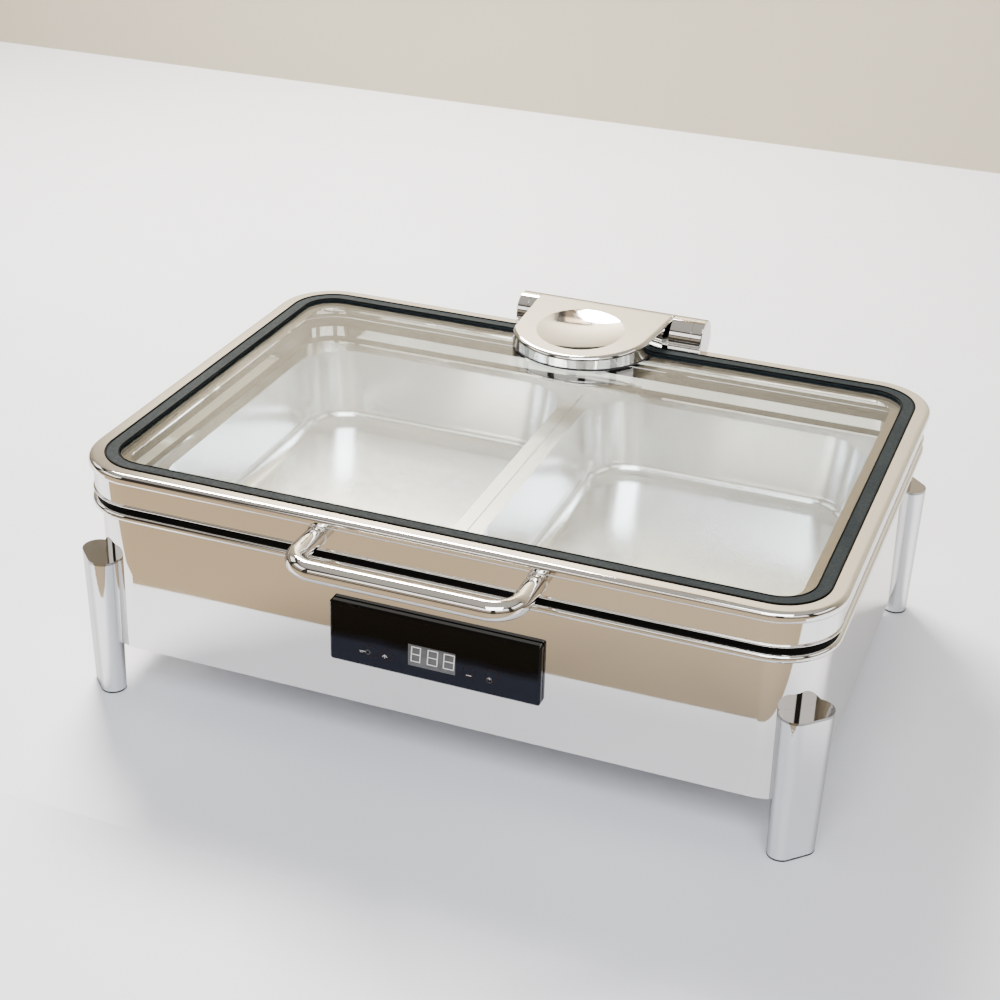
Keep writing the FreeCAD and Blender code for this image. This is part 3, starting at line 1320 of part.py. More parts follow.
def front_rim(edge):
    """Edges that lie in the panel's front face."""
    box = edge.BoundBox
    return abs(box.YMin - panel_face) < 0.01 and abs(box.YMax - panel_face) < 0.01


dress(panel, "Chamfer", d.panel_bevel, front_rim)

# Display, touch springs and control board behind the glass
display = new_body("display_module", x=d.panel_x + d.display_shift)
display_sketch = new_sketch(display, "XZ_Plane", level=board_face, y=d.panel_middle - d.display_drop)
add_rectangle(display_sketch, d.display_width, d.display_height)
pad(display, display_sketch, d.display_depth)
BOARD_MARGIN = 1.0
board = new_body("control_board", x=d.panel_x)
board_sketch = new_sketch(board, "XZ_Plane", level=board_face - d.board_thickness, y=d.panel_middle)
add_rounded(board_sketch, hollow_width - 2 * BOARD_MARGIN, hollow_height - 2 * BOARD_MARGIN, PANEL_RADIUS)
for side_x, side_y in POSTS:
    add_circle(board_sketch, BOARD_SCREW["shank_diameter"] + SCREW_PLAY, x=side_x * post_x, y=side_y * post_y)
pad(board, board_sketch, d.board_thickness)
TOUCH_DIAMETER = 5.0
TOUCH_WALL = 0.6


def touch_springs():
    """Four contact springs that press on the back of the glass under the touch marks."""
    solids = []
    length = (panel_back - board_face).value
    level = (d.panel_middle - d.touch_drop).value
    for x in (d.touch_first, d.touch_second, d.touch_third, d.touch_fourth):
        start = FreeCAD.Vector((d.panel_x + x).value, -board_face.value, level)
        tube = Part.makeCylinder(TOUCH_DIAMETER / 2, length, start, FreeCAD.Vector(0, -1, 0))
        hole = Part.makeCylinder(TOUCH_DIAMETER / 2 - TOUCH_WALL, length, start, FreeCAD.Vector(0, -1, 0))
        solids.append(tube.cut(hole))
    return Part.makeCompound(solids)


def board_screws():
    """Four screws that hold the control board on its posts."""
    solids = []
    for side_x, side_y in POSTS:
        x = (d.panel_x + side_x * post_x).value
        z = (d.panel_middle + side_y * post_y).value
        solids.append(screw(**BOARD_SCREW, start=(x, -board_face.value, z), direction=(0, 1, 0)))
    return Part.makeCompound(solids)


add_shape("touch_springs", touch_springs())
add_shape("control_board_screws", board_screws())

# Power inlet: a three-pin appliance socket in the back wall, the place where a cord would plug in
inlet = new_body("power_inlet")
INLET_PLATE = (50.0, 24.0, 5.0)
INLET_WALL = 1.6
INLET_FLANGE = 2.5
INLET_DEPTH = 26.0
flange = new_sketch(inlet, "XZ_Plane", level=-casing_back - INLET_FLANGE, x=inlet_x, y=d.inlet_z)
add_rounded(flange, *INLET_PLATE)
for step in INLET_SCREWS:
    add_circle(flange, INLET_SCREW["shank_diameter"] + FIT, x=step)
pad(inlet, flange, INLET_FLANGE)
shroud = new_sketch(inlet, "XZ_Plane", level=-casing_back - INLET_FLANGE / 2, x=inlet_x, y=d.inlet_z)
add_rounded(shroud, inlet_body_width, inlet_body_height, INLET_RADIUS)
pad(inlet, shroud, INLET_DEPTH)
SOCKET_DEPTH = 17.0
mouth = new_sketch(inlet, "XZ_Plane", level=-casing_back - INLET_FLANGE - OVERCUT, x=inlet_x, y=d.inlet_z)
add_rounded(mouth, inlet_body_width - 2 * INLET_WALL, inlet_body_height - 2 * INLET_WALL, INLET_RADIUS)
pocket(inlet, mouth, SOCKET_DEPTH + OVERCUT)
INLET_PINS = [(-7.0, -2.0), (0.0, 2.0), (7.0, -2.0)]
PIN_WIDTH = 1.9
PIN_HEIGHT = 4.3
PIN_SETBACK = 4.0
PIN_SLOT_PLAY = 0.1
pin_ways = new_sketch(inlet, "XZ_Plane", level=-casing_back, x=inlet_x, y=d.inlet_z)
for x, y in INLET_PINS:
    add_rectangle(pin_ways, PIN_WIDTH + PIN_SLOT_PLAY, PIN_HEIGHT + PIN_SLOT_PLAY, x=x, y=y)
pocket(inlet, pin_ways, INLET_DEPTH + THROUGH)


def inlet_pins():
    """Three flat pins that run through the socket's back to the terminals."""
    solids = []
    front = casing_back.value - PIN_SETBACK
    length = INLET_DEPTH + INLET_FLANGE + PIN_SETBACK
    for x, y in INLET_PINS:
        low = FreeCAD.Vector(inlet_x.value + x - PIN_WIDTH / 2, front - length,
                             d.inlet_z.value + y - PIN_HEIGHT / 2)
        solids.append(Part.makeBox(PIN_WIDTH, length, PIN_HEIGHT, low))
    return Part.makeCompound(solids)


def inlet_screws():
    """Two screws through the socket's flange."""
    solids = []
    for step in INLET_SCREWS:
        start = (inlet_x.value + step, casing_back.value + INLET_FLANGE, d.inlet_z.value)
        solids.append(screw(**INLET_SCREW, start=start, direction=(0, -1, 0)))
    return Part.makeCompound(solids)


add_shape("inlet_pins", inlet_pins())
add_shape("inlet_screws", inlet_screws())

# Heating plate: aluminium, held flat against the basin's underside
heater = new_body("heating_plate")
HEATER_RADIUS = 20.0
rounded_plate(heater, d.heater_width, d.heater_depth, HEATER_RADIUS, heater_bottom, d.heater_thickness)

# Heating tube: one sheathed element bent into a long U under the plate
tube = new_body("heating_tube")
TUBE_LEG = 42.0
TUBE_TAIL = 24.0
TUBE_INSET = 12.0
tube_z = heater_bottom - d.heater_tube / 2
tube_end = d.heater_width / 2 + TUBE_TAIL
tube_path = new_sketch(tube, level=tube_z)
turn_x = -(d.heater_width / 2 - TUBE_LEG - TUBE_INSET)
ex, tx = tube_end.value, turn_x.value
tube_path.addGeometry(Part.LineSegment(FreeCAD.Vector(ex, -TUBE_LEG, 0), FreeCAD.Vector(tx, -TUBE_LEG, 0)))
tube_path.addGeometry(Part.ArcOfCircle(Part.Circle(FreeCAD.Vector(tx, 0, 0), up, TUBE_LEG),
                                       0.5 * math.pi, 1.5 * math.pi))
tube_path.addGeometry(Part.LineSegment(FreeCAD.Vector(tx, TUBE_LEG, 0), FreeCAD.Vector(ex, TUBE_LEG, 0)))
tube_path.addConstraint([
    Sketcher.Constraint("Tangent", 0, 2, 1, 2),
    Sketcher.Constraint("Tangent", 1, 1, 2, 1),
    Sketcher.Constraint("Horizontal", 0),
    Sketcher.Constraint("PointOnObject", 1, 3, -1),
    Sketcher.Constraint("Vertical", 0, 1, 2, 2),
])
drive(tube_path, "DistanceX", 1, 3, -1, 1, size=-turn_x)
drive(tube_path, "DistanceX", -1, 1, 0, 1, size=tube_end)
drive(tube_path, "Radius", 1, size=TUBE_LEG)
tube_profile = new_sketch(tube, "YZ_Plane", level=tube_end, x=-TUBE_LEG, y=tube_z)
add_circle(tube_profile, d.heater_tube)
tube_pipe = tube.newObject("PartDesign::AdditivePipe", "tube_pipe")
tube_pipe.Profile = tube_profile
tube_pipe.Spine = tube_path
tube.Tip = tube_pipe

# Heater straps: two steel straps that press tube and plate up on studs
STRAP_X = 78.0
STRAP_THICKNESS = 1.5
STRAP_STUD_Y = 66.0
STRAP_WIDTH = 22.0
STRAP_END = 9.0
STUD_DIAMETER = 4.0
STUD_TAIL = 6.0
STUD_NUT = (7.0, 3.2)
strap_level = heater_bottom - d.heater_tube - STRAP_THICKNESS
for side_name, side in (("left", -1), ("right", 1)):
    strap = new_body(side_name + "_heater_strap", x=side * STRAP_X)
    strap_sketch = new_sketch(strap, level=strap_level)
    add_rectangle(strap_sketch, STRAP_WIDTH, 2 * (STRAP_STUD_Y + STRAP_END))
    for stud_side in (-1, 1):
        add_circle(strap_sketch, STUD_DIAMETER + FIT, y=stud_side * STRAP_STUD_Y)
    pad(strap, strap_sketch, STRAP_THICKNESS)


def heater_studs():
    """Four studs with nuts below the straps; the plate has them pressed in."""
    solids = []
    drop = (d.heater_tube + STRAP_THICKNESS).value + STUD_TAIL
    for side in (-1, 1):
        for stud_side in (-1, 1):
            spot = (side * STRAP_X, stud_side * STRAP_STUD_Y)
            top = FreeCAD.Vector(*spot, heater_bottom.value)
            stud = Part.makeCylinder(STUD_DIAMETER / 2, drop, top, FreeCAD.Vector(0, 0, -1))
            fixing = nut(*STUD_NUT, STUD_DIAMETER, (*spot, strap_level.value), (0, 0, -1))
            solids.append(stud.fuse(fixing).removeSplitter())
    return Part.makeCompound(solids)


add_shape("heater_studs", heater_studs())

# Temperature sensor and thermal cutout on the plate's underside, between the tube's legs
SENSOR_X = -18.0
SENSOR_BLOCK = (26.0, 9.0, 2.0)
SENSOR_HEIGHT = 7.0
SENSOR_TAIL = 12.0
SENSOR_TAIL_DIAMETER = 3.4
sensor = new_body("temperature_sensor", x=SENSOR_X, z=heater_bottom)
sensor_block = new_sketch(sensor, level=-SENSOR_HEIGHT)
add_rounded(sensor_block, *SENSOR_BLOCK)
pad(sensor, sensor_block, SENSOR_HEIGHT)
sensor_tail = new_sketch(sensor, "YZ_Plane", level=SENSOR_TAIL, y=-SENSOR_HEIGHT / 2)
add_circle(sensor_tail, SENSOR_TAIL_DIAMETER)
pad(sensor, sensor_tail, SENSOR_TAIL)
CUTOUT_X = 34.0
CUTOUT_DISC = (17.0, 4.0)
CUTOUT_BODY = (14.0, 11.0)
cutout = new_body("thermal_cutout", x=CUTOUT_X, z=heater_bottom)
cutout_disc = new_sketch(cutout, level=-CUTOUT_DISC[1])
add_circle(cutout_disc, CUTOUT_DISC[0])
pad(cutout, cutout_disc, CUTOUT_DISC[1])
cutout_body = new_sketch(cutout, level=-CUTOUT_BODY[1])
add_circle(cutout_body, CUTOUT_BODY[0])
pad(cutout, cutout_body, CUTOUT_BODY[1] - CUTOUT_DISC[1] / 2)

# Power board on standoffs behind the basin, with its transformer, relay and terminals
power_y = (casing_back - d.casing_wall + basin_depth / 2) / 2
board_level = base_top + d.standoff_height
POWER_HOLE_INSET = 4.0
POWER_SCREW = {"head_diameter": 5.2, "head_height": 1.8, "shank_diameter": 3.0, "shank_length": 7.0}
STANDOFF_ACROSS = 5.5
COMPONENT_RADIUS = 1.0
power = new_body("power_board", x=power_board_x, y=power_y)
power_sketch = new_sketch(power, level=board_level)
add_rounded(power_sketch, d.power_board_width, d.power_board_depth, PANEL_RADIUS)
hole_x = d.power_board_width / 2 - POWER_HOLE_INSET
hole_y = d.power_board_depth / 2 - POWER_HOLE_INSET
power_hole = POWER_SCREW["shank_diameter"] + SCREW_PLAY
for side_x, side_y in POSTS:
    add_circle(power_sketch, power_hole, x=side_x * hole_x, y=side_y * hole_y)
pad(power, power_sketch, d.board_thickness)
parts_level = board_level + d.board_thickness
TERMINAL_SHIFT = 28.0
TERMINAL_DEPTH = 12.0
TERMINAL_HEIGHT = 11.0
LEAD = 2.4
ON_BOARD = [
    ("power_transformer", -24.0, 30.0, 25.0, 22.0),
    ("power_relay", 4.0, 16.0, 20.0, 15.0),
    ("power_terminals", TERMINAL_SHIFT, 22.0, TERMINAL_DEPTH, TERMINAL_HEIGHT),
]
for label, shift, width, depth, height in ON_BOARD:
    block = new_body(label, x=power_board_x + shift, y=power_y)
    block_sketch = new_sketch(block, level=parts_level)
    add_rounded(block_sketch, width, depth, COMPONENT_RADIUS)
    pad(block, block_sketch, height)


def standoffs():
    """Four hexagonal standoffs between the base plate and the power board."""
    solids = []
    for side_x, side_y in POSTS:
        x = (power_board_x + side_x * hole_x).value
        y = (power_y + side_y * hole_y).value
        solids.append(nut(STANDOFF_ACROSS, d.standoff_height.value, POWER_SCREW["shank_diameter"],
                          (x, y, base_top.value), (0, 0, 1)))
    return Part.makeCompound(solids)


def power_board_screws():
    """Four screws down through the power board into its standoffs."""
    solids = []
    for side_x, side_y in POSTS:
        x = (power_board_x + side_x * hole_x).value
        y = (power_y + side_y * hole_y).value
        solids.append(screw(**POWER_SCREW, start=(x, y, parts_level.value), direction=(0, 0, -1)))
    return Part.makeCompound(solids)


add_shape("board_standoffs", standoffs())
add_shape("power_board_screws", power_board_screws())


def wiring_loom():
    """The leads inside the casing: inlet to board, board to heater, board to panel, and earth."""
    terminal_x = (power_board_x + TERMINAL_SHIFT).value
    y, top = power_y.value, parts_level.value
    terminal_top = top + TERMINAL_HEIGHT
    pin_y = casing_back.value - INLET_DEPTH - INLET_FLANGE - 6.0
    ix, iz = inlet_x.value, d.inlet_z.value
    leads = []
    for pin_x, pin_z in (INLET_PINS[0], INLET_PINS[2]):
        low = iz + pin_z - PIN_HEIGHT / 2
        turn_z = terminal_top + 4.0
        leads.append(lead([(ix + pin_x, pin_y, low), (ix + pin_x, pin_y, turn_z),
                           (ix + pin_x, y, turn_z), (ix + pin_x, y, terminal_top)], LEAD))
    earth_top = iz + INLET_PINS[1][1] + PIN_HEIGHT / 2
    earth_x = ix + 30.0
    leads.append(lead([(ix, pin_y, earth_top), (ix, pin_y, earth_top + 6), (earth_x, pin_y, earth_top + 6),
                       (earth_x, pin_y, base_top.value)], LEAD))
    terminal_y = y - TERMINAL_DEPTH / 2
    level = top + 5.0
    end_x, end_z = tube_end.value, tube_z.value
    for side, shift in ((1, -4.0), (-1, 4.0)):
        start_x = terminal_x + shift
        middle_y = side * TUBE_LEG + 40
        leads.append(lead([(start_x, terminal_y, level), (start_x, middle_y + 30, level),
                           (start_x - 3, middle_y - 10, level + 1), (end_x + 14, side * TUBE_LEG, end_z),
                           (end_x, side * TUBE_LEG, end_z)], LEAD))
    lead_x = d.panel_x.value + LEAD_HOLE_X
    board_left = (power_board_x - d.power_board_width / 2).value + 6.0
    floor = base_top.value + 4.5
    back = -(housing_inner - 10).value
    rise = d.panel_middle.value
    leads.append(lead([(board_left, y, top), (board_left, y, top + 7), (board_left - 22, y - 9, top + 4),
                       (lead_x + 20, y - 34, floor + 2), (lead_x, y - 94, floor), (lead_x, back + 44, floor),
                       (lead_x, back + 3, floor + 8), (lead_x, back, rise - 18), (lead_x, back - 6, rise),
                       (lead_x, -(board_face - d.board_thickness).value, rise)], LEAD))
    return Part.makeCompound(leads)


add_shape("wiring_loom", wiring_loom())


def gather(label, members):
    """Put like pieces in one named group of separate solids."""
    group = doc.addObject("Part::Compound", label)
    group.Label = label
    group.Links = members
    return group


GROUPS = {"foot_pads": [corner + "_foot_pad" for corner, *_ in CORNERS],
          "leg_caps": [corner + "_leg_cap" for corner, *_ in CORNERS],
          "heater_straps": ["left_heater_strap", "right_heater_strap"],
          "hinge_bushes": ["left_hinge_bush", "right_hinge_bush"]}
for label, names in GROUPS.items():
    gather(label, [doc.getObject(name) for name in names])
grouped = {name for names in GROUPS.values() for name in names}

# Check every object, then write one file a node
doc.recompute()
for item in doc.Objects:
    if "Invalid" in item.State or "Error" in item.State:
        raise RuntimeError(item.Label + " did not build: " + str(item.State))
WRITTEN_KINDS = ("PartDesign::Body", "Part::Feature", "Part::Compound")
nodes = [item for item in doc.Objects
         if item.TypeId in WRITTEN_KINDS and item.Label not in grouped]
os.makedirs("parts", exist_ok=True)
for node in nodes:
    shape = node.Shape
    if shape.isNull() or not shape.isValid() or not shape.Solids:
        raise RuntimeError(node.Label + " has no valid solid")
    shape.exportStep("parts/" + node.Label + ".step")
    print("%-24s %3d solids %12.1f mm3" % (node.Label, len(shape.Solids), shape.Volume))
print(len(nodes), "nodes")
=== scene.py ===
"""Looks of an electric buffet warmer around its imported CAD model.

Metres, +Z up, front towards -Y.  One section for each piece or group, in the order the real
object goes together: legs, casing, water pan, food pans, lid, handle, hinge, panel, insides.
Each section holds its own sizes, colours, mesh and finish.
"""

import math

import bpy
import numpy as np
from mathutils import Matrix, Vector


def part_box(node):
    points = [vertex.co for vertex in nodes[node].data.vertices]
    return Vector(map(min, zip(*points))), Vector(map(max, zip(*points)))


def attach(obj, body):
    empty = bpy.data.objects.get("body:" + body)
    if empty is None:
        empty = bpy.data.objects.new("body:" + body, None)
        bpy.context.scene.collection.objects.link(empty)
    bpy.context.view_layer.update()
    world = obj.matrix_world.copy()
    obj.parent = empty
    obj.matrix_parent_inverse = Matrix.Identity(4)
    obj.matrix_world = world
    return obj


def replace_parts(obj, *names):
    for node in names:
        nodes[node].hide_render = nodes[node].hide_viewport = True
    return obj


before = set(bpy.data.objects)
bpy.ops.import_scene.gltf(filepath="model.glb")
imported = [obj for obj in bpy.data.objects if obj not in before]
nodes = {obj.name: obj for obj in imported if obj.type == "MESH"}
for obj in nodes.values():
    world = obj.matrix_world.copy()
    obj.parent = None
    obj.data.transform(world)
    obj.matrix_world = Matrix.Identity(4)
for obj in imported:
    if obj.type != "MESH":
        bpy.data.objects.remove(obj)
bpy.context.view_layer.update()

# Feet and legs.  Black rubber pads under tapered, polished steel tubes; each tube is closed by a
# flat polished cap and bolted to the casing's corner from inside.


def new_finish(name, color, metallic=0.0, roughness=0.5):
    """A material with one Principled surface; returns the material, its tree and the surface."""
    material = bpy.data.materials.new(name)
    material.use_nodes = True
    tree = material.node_tree
    surface = tree.nodes["Principled BSDF"]
    surface.inputs["Base Color"].default_value = (*color, 1.0)
    surface.inputs["Metallic"].default_value = metallic
    surface.inputs["Roughness"].default_value = roughness
    return material, tree, surface


def noise_of(tree, scale, detail=3.0, stretch=(1.0, 1.0, 1.0)):
    """Noise over object space, stretched along the axes; returns its factor socket."""
    place = tree.nodes.new("ShaderNodeTexCoord")
    turn = tree.nodes.new("ShaderNodeMapping")
    turn.inputs["Scale"].default_value = stretch
    tree.links.new(place.outputs["Object"], turn.inputs["Vector"])
    noise = tree.nodes.new("ShaderNodeTexNoise")
    noise.inputs["Scale"].default_value = scale
    noise.inputs["Detail"].default_value = detail
    tree.links.new(turn.outputs["Vector"], noise.inputs["Vector"])
    return noise.outputs["Fac"]


def worked_out(tree, operation, *terms):
    """A Math node's result; each term is a socket or a number."""
    step = tree.nodes.new("ShaderNodeMath")
    step.operation = operation
    for socket, term in zip(step.inputs, terms):
        if isinstance(term, bpy.types.NodeSocket):
            tree.links.new(term, socket)
        else:
            socket.default_value = term
    return step.outputs["Value"]


def spread(tree, factor, low, high, start=0.35, end=0.65):
    """Map a factor from start..end to low..high."""
    step = tree.nodes.new("ShaderNodeMapRange")
    step.inputs["From Min"].default_value = start
    step.inputs["From Max"].default_value = end
    step.inputs["To Min"].default_value = low
    step.inputs["To Max"].default_value = high
    tree.links.new(factor, step.inputs["Value"])
    return step.outputs["Result"]


def tint(tree, factor, low, high, start=0.35, end=0.65):
    """Blend two colours by a factor."""
    ramp = tree.nodes.new("ShaderNodeValToRGB")
    ramp.color_ramp.elements[0].position = start
    ramp.color_ramp.elements[0].color = (*low, 1.0)
    ramp.color_ramp.elements[1].position = end
    ramp.color_ramp.elements[1].color = (*high, 1.0)
    tree.links.new(factor, ramp.inputs["Fac"])
    return ramp.outputs["Color"]


def bump(tree, surface, height, distance, strength=1.0):
    """Feed a height into the surface's normal; distance is in metres."""
    relief = tree.nodes.new("ShaderNodeBump")
    relief.inputs["Distance"].default_value = distance
    relief.inputs["Strength"].default_value = strength
    tree.links.new(height, relief.inputs["Height"])
    tree.links.new(relief.outputs["Normal"], surface.inputs["Normal"])


def shared_marks():
    """Shared effect: wiping lines crossed with soft smudges, 0 where clean and 1 where marked."""
    group = bpy.data.node_groups.new("handling_marks", "ShaderNodeTree")
    group.interface.new_socket(name="Scale", in_out="INPUT", socket_type="NodeSocketFloat")
    group.interface.new_socket(name="Marks", in_out="OUTPUT", socket_type="NodeSocketFloat")
    entry = group.nodes.new("NodeGroupInput")
    leave = group.nodes.new("NodeGroupOutput")
    place = group.nodes.new("ShaderNodeTexCoord")
    turn = group.nodes.new("ShaderNodeMapping")
    turn.inputs["Scale"].default_value = (1.0, 6.0, 9.0)
    turn.inputs["Rotation"].default_value = (0.3, 0.2, 0.5)
    lines = group.nodes.new("ShaderNodeTexNoise")
    lines.inputs["Detail"].default_value = 5.0
    patches = group.nodes.new("ShaderNodeTexNoise")
    patches.inputs["Detail"].default_value = 2.0
    patches.inputs["Scale"].default_value = 14.0
    group.links.new(place.outputs["Object"], turn.inputs["Vector"])
    group.links.new(turn.outputs["Vector"], lines.inputs["Vector"])
    group.links.new(place.outputs["Object"], patches.inputs["Vector"])
    group.links.new(entry.outputs["Scale"], lines.inputs["Scale"])
    product = worked_out(group, "MULTIPLY", lines.outputs["Fac"], patches.outputs["Fac"])
    group.links.new(product, leave.inputs["Marks"])
    return group


handling_marks = shared_marks()
# Painted shade: polished steel's colour darkens and warms towards the silhouette by these shares.
PAINTED_SHADE_SHARE, PAINTED_SHADE_END = (1.0, 0.92, 0.84), 0.95
MARKS_START, MARKS_END = 0.18, 0.36


def mirror_steel(name, color, clean, marked, wave=0.0003, edge=0.12, painted_shade_start=0.62):
    """Steel polished to a mirror: rougher where it was touched, on a sheet that waves a little.

    Towards the silhouette the colour falls to edge times its value, and turns a little warmer: a
    painted shade, a dark rim painted into the colour in place of a dim room mirrored round polished
    bars and beads.
    """
    material, tree, surface = new_finish(name, color, 1.0, clean)
    # Painted shade: the Layer Weight darkens the colour towards the silhouette.
    facing = tree.nodes.new("ShaderNodeLayerWeight")
    facing.inputs["Blend"].default_value = 0.5
    painted_rim_shade = tuple(share * edge * level for share, level in zip(PAINTED_SHADE_SHARE, color))
    tree.links.new(tint(tree, facing.outputs["Facing"], color, painted_rim_shade, painted_shade_start, PAINTED_SHADE_END),
                   surface.inputs["Base Color"])
    marks = tree.nodes.new("ShaderNodeGroup")
    marks.node_tree = handling_marks
    marks.inputs["Scale"].default_value = 60.0
    tree.links.new(spread(tree, marks.outputs["Marks"], clean, marked, MARKS_START, MARKS_END),
                   surface.inputs["Roughness"])
    bump(tree, surface, noise_of(tree, scale=6.0, detail=1.0), wave, strength=0.3)
    return material


def grained_steel(name, color, low, high, stretch, scale=40.0, relief=0.00003):
    """Metal with a rolled grain along one axis, and brightness that varies by a tenth."""
    material, tree, surface = new_finish(name, color, 1.0, low)
    grain = noise_of(tree, scale, detail=6.0, stretch=stretch)
    tree.links.new(spread(tree, grain, low, high), surface.inputs["Roughness"])
    dark = tuple(0.9 * level for level in color)
    tree.links.new(tint(tree, noise_of(tree, scale=9.0, detail=2.0), dark, color),
                   surface.inputs["Base Color"])
    bump(tree, surface, grain, relief, strength=0.5)
    return material


ZINC_BLUE = (0.92, 0.97, 1.05)


def plated_steel(name, color):
    """Zinc-plated steel: a fine crystal pattern that is a little bluer in patches."""
    material, tree, surface = new_finish(name, color, 1.0, 0.35)
    crystals = noise_of(tree, scale=420.0, detail=2.0)
    tree.links.new(spread(tree, crystals, low=0.26, high=0.46), surface.inputs["Roughness"])
    blue = tuple(share * level for share, level in zip(ZINC_BLUE, color))
    tree.links.new(tint(tree, noise_of(tree, scale=60.0), color, blue), surface.inputs["Base Color"])
    bump(tree, surface, crystals, distance=0.00002, strength=0.5)
    return material


def moulded(name, color, roughness, relief=0.00004, scale=700.0, tone=0.8, shine=0.5):
    """Moulded plastic or rubber: a fine skin texture, and colour that falls to tone in patches."""
    material, tree, surface = new_finish(name, color, 0.0, roughness)
    surface.inputs["Specular IOR Level"].default_value = shine
    skin = noise_of(tree, scale, detail=4.0)
    tree.links.new(spread(tree, skin, 0.85 * roughness, 1.15 * roughness),
                   surface.inputs["Roughness"])
    dark = tuple(tone * level for level in color)
    tree.links.new(tint(tree, noise_of(tree, scale=25.0), dark, color), surface.inputs["Base Color"])
    bump(tree, surface, skin, relief, strength=0.6)
    return material


def wear(names, material):
    """Give CAD nodes a finish."""
    for name in names:
        node = nodes[name]
        node.data.materials.clear()
        node.data.materials.append(material)


wear(["foot_pads"], moulded("foot_rubber", (0.016, 0.016, 0.017), 0.62, relief=0.00006))
wear(["front_left_leg", "front_right_leg", "back_left_leg", "back_right_leg"],
     mirror_steel("leg_steel", (0.80, 0.80, 0.81), 0.03, 0.075, wave=0.00015, edge=0.03,
                  painted_shade_start=0.38))
wear(["leg_caps"], mirror_steel("leg_cap_steel", (0.30, 0.29, 0.285), 0.04, 0.09, wave=0.0001))
wear(["leg_blocks"], plated_steel("leg_block_zinc", (0.58, 0.59, 0.61)))
wear(["leg_bolts"], plated_steel("leg_bolt_zinc", (0.62, 0.63, 0.64)))

# Casing and base plate.  The casing is mirror-polished sheet; the base plate is satin sheet with
# slots, held by pan-head screws with a cross recess.
wear(["outer_casing"],
     mirror_steel("casing_steel", (0.88, 0.86, 0.84), 0.02, 0.05, wave=0.0006, edge=0.45))
wear(["base_plate"],
     grained_steel("base_plate_steel", (0.62, 0.61, 0.60), 0.28, 0.42, (1, 14, 14)))

MERGE_DIGITS = 6


def solid_boxes(name):
    """Lowest and highest corner of each separate solid in a CAD node.

    Vertices joined by an edge belong together; labels fall to the lowest one along every edge
    until nothing changes.
    """
    mesh = nodes[name].data
    points = np.empty(3 * len(mesh.vertices))
    mesh.vertices.foreach_get("co", points)
    edges = np.empty(2 * len(mesh.edges), dtype=np.int64)
    mesh.edges.foreach_get("vertices", edges)
    corners, corner_of = np.unique(np.round(points.reshape(-1, 3), MERGE_DIGITS), axis=0,
                                   return_inverse=True)
    edges = corner_of.reshape(-1)[edges.reshape(-1, 2)]
    labels = np.arange(len(corners))
    while True:
        lowest = np.minimum(labels[edges[:, 0]], labels[edges[:, 1]])
        after = labels.copy()
        np.minimum.at(after, edges[:, 0], lowest)
        np.minimum.at(after, edges[:, 1], lowest)
        if (after == labels).all():
            break
        labels = after
    solids = [corners[labels == label] for label in np.unique(labels)]
    return [(solid.min(0), solid.max(0)) for solid in solids]


def build(name, points, faces, material, body, slot, smooth=True):
    """A piece from points and faces, riding on a body and wearing the given material; slot is not used.
    """
    mesh = bpy.data.meshes.new(name)
    mesh.from_pydata(points.tolist(), [], faces)
    mesh.polygons.foreach_set("use_smooth", [smooth] * len(mesh.polygons))
    mesh.materials.append(material)
    item = bpy.data.objects.new(name, mesh)
    bpy.context.scene.collection.objects.link(item)
    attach(item, body)
    return item


def skin_faces(start, rings, sides, closed=False):
    """Four-sided faces between neighbouring rings of points, whose numbers run from start.

    Point s of ring r is number start + r sides + s, and a face is (r, s), (r + 1, s),
    (r + 1, s + 1), (r, s + 1); s + 1 wraps round, and so does r + 1 where the rings are closed.
    """
    ring, side = np.meshgrid(np.arange(rings if closed else rings - 1), np.arange(sides),
                             indexing="ij")
    next_ring, next_side = (ring + 1) % rings, (side + 1) % sides
    faces = np.stack((ring * sides + side, next_ring * sides + side,
                      next_ring * sides + next_side, ring * sides + next_side), axis=-1)
    return (start + faces.reshape(-1, 4)).tolist()


HEAD_RINGS, SCREW_SIDES = 15, 48
DOME_FALL, RECESS_DEPTH = 0.75, 0.6
ARM_HALF_WIDTH, ARM_REACH, ARM_EASE = 0.13, 0.62, 0.05
ASKEW = (0.31, 0.47, 0.83)


def pan_screw(start, seat, outward, head_radius, head_height, shank_radius, shank_length):
    """Points and faces of a screw with a domed head and a cross recess.

    Over r = 0..1 of the head's radius and the angle a its height is 1 - DOME_FALL r^4, less
    RECESS_DEPTH (1 - r) where |x| is under ARM_HALF_WIDTH and |y| under ARM_REACH or the other way
    round, eased over ARM_EASE.  The shank is a plain tube with a flat end.
    """
    side = np.cross(outward, ASKEW)
    side /= np.linalg.norm(side)
    other = np.cross(outward, side)
    angles = 2 * math.pi * np.arange(SCREW_SIDES) / SCREW_SIDES
    circle = np.cos(angles)[:, None] * side + np.sin(angles)[:, None] * other
    share = (np.arange(HEAD_RINGS + 1) / HEAD_RINGS)[:, None]
    x, y = np.abs(share * np.cos(angles)), np.abs(share * np.sin(angles))
    arms = np.maximum(np.minimum(ARM_HALF_WIDTH - x, ARM_REACH - y),
                      np.minimum(ARM_HALF_WIDTH - y, ARM_REACH - x))
    sunk = RECESS_DEPTH * np.clip(arms / ARM_EASE, 0, 1) * (1 - share)
    level = head_height * (1 - DOME_FALL * share ** 4 - sunk)
    dome = seat + head_radius * share[:, :, None] * circle + level[:, :, None] * outward
    shank = [seat + head_radius * circle, seat + shank_radius * circle,
             seat + shank_radius * circle - shank_length * outward]
    points = np.concatenate((dome, shank))
    last = start + (len(points) - 1) * SCREW_SIDES
    flat_end = list(range(last + SCREW_SIDES - 1, last - 1, -1))
    return points.reshape(-1, 3), skin_faces(start, len(points), SCREW_SIDES) + [flat_end]


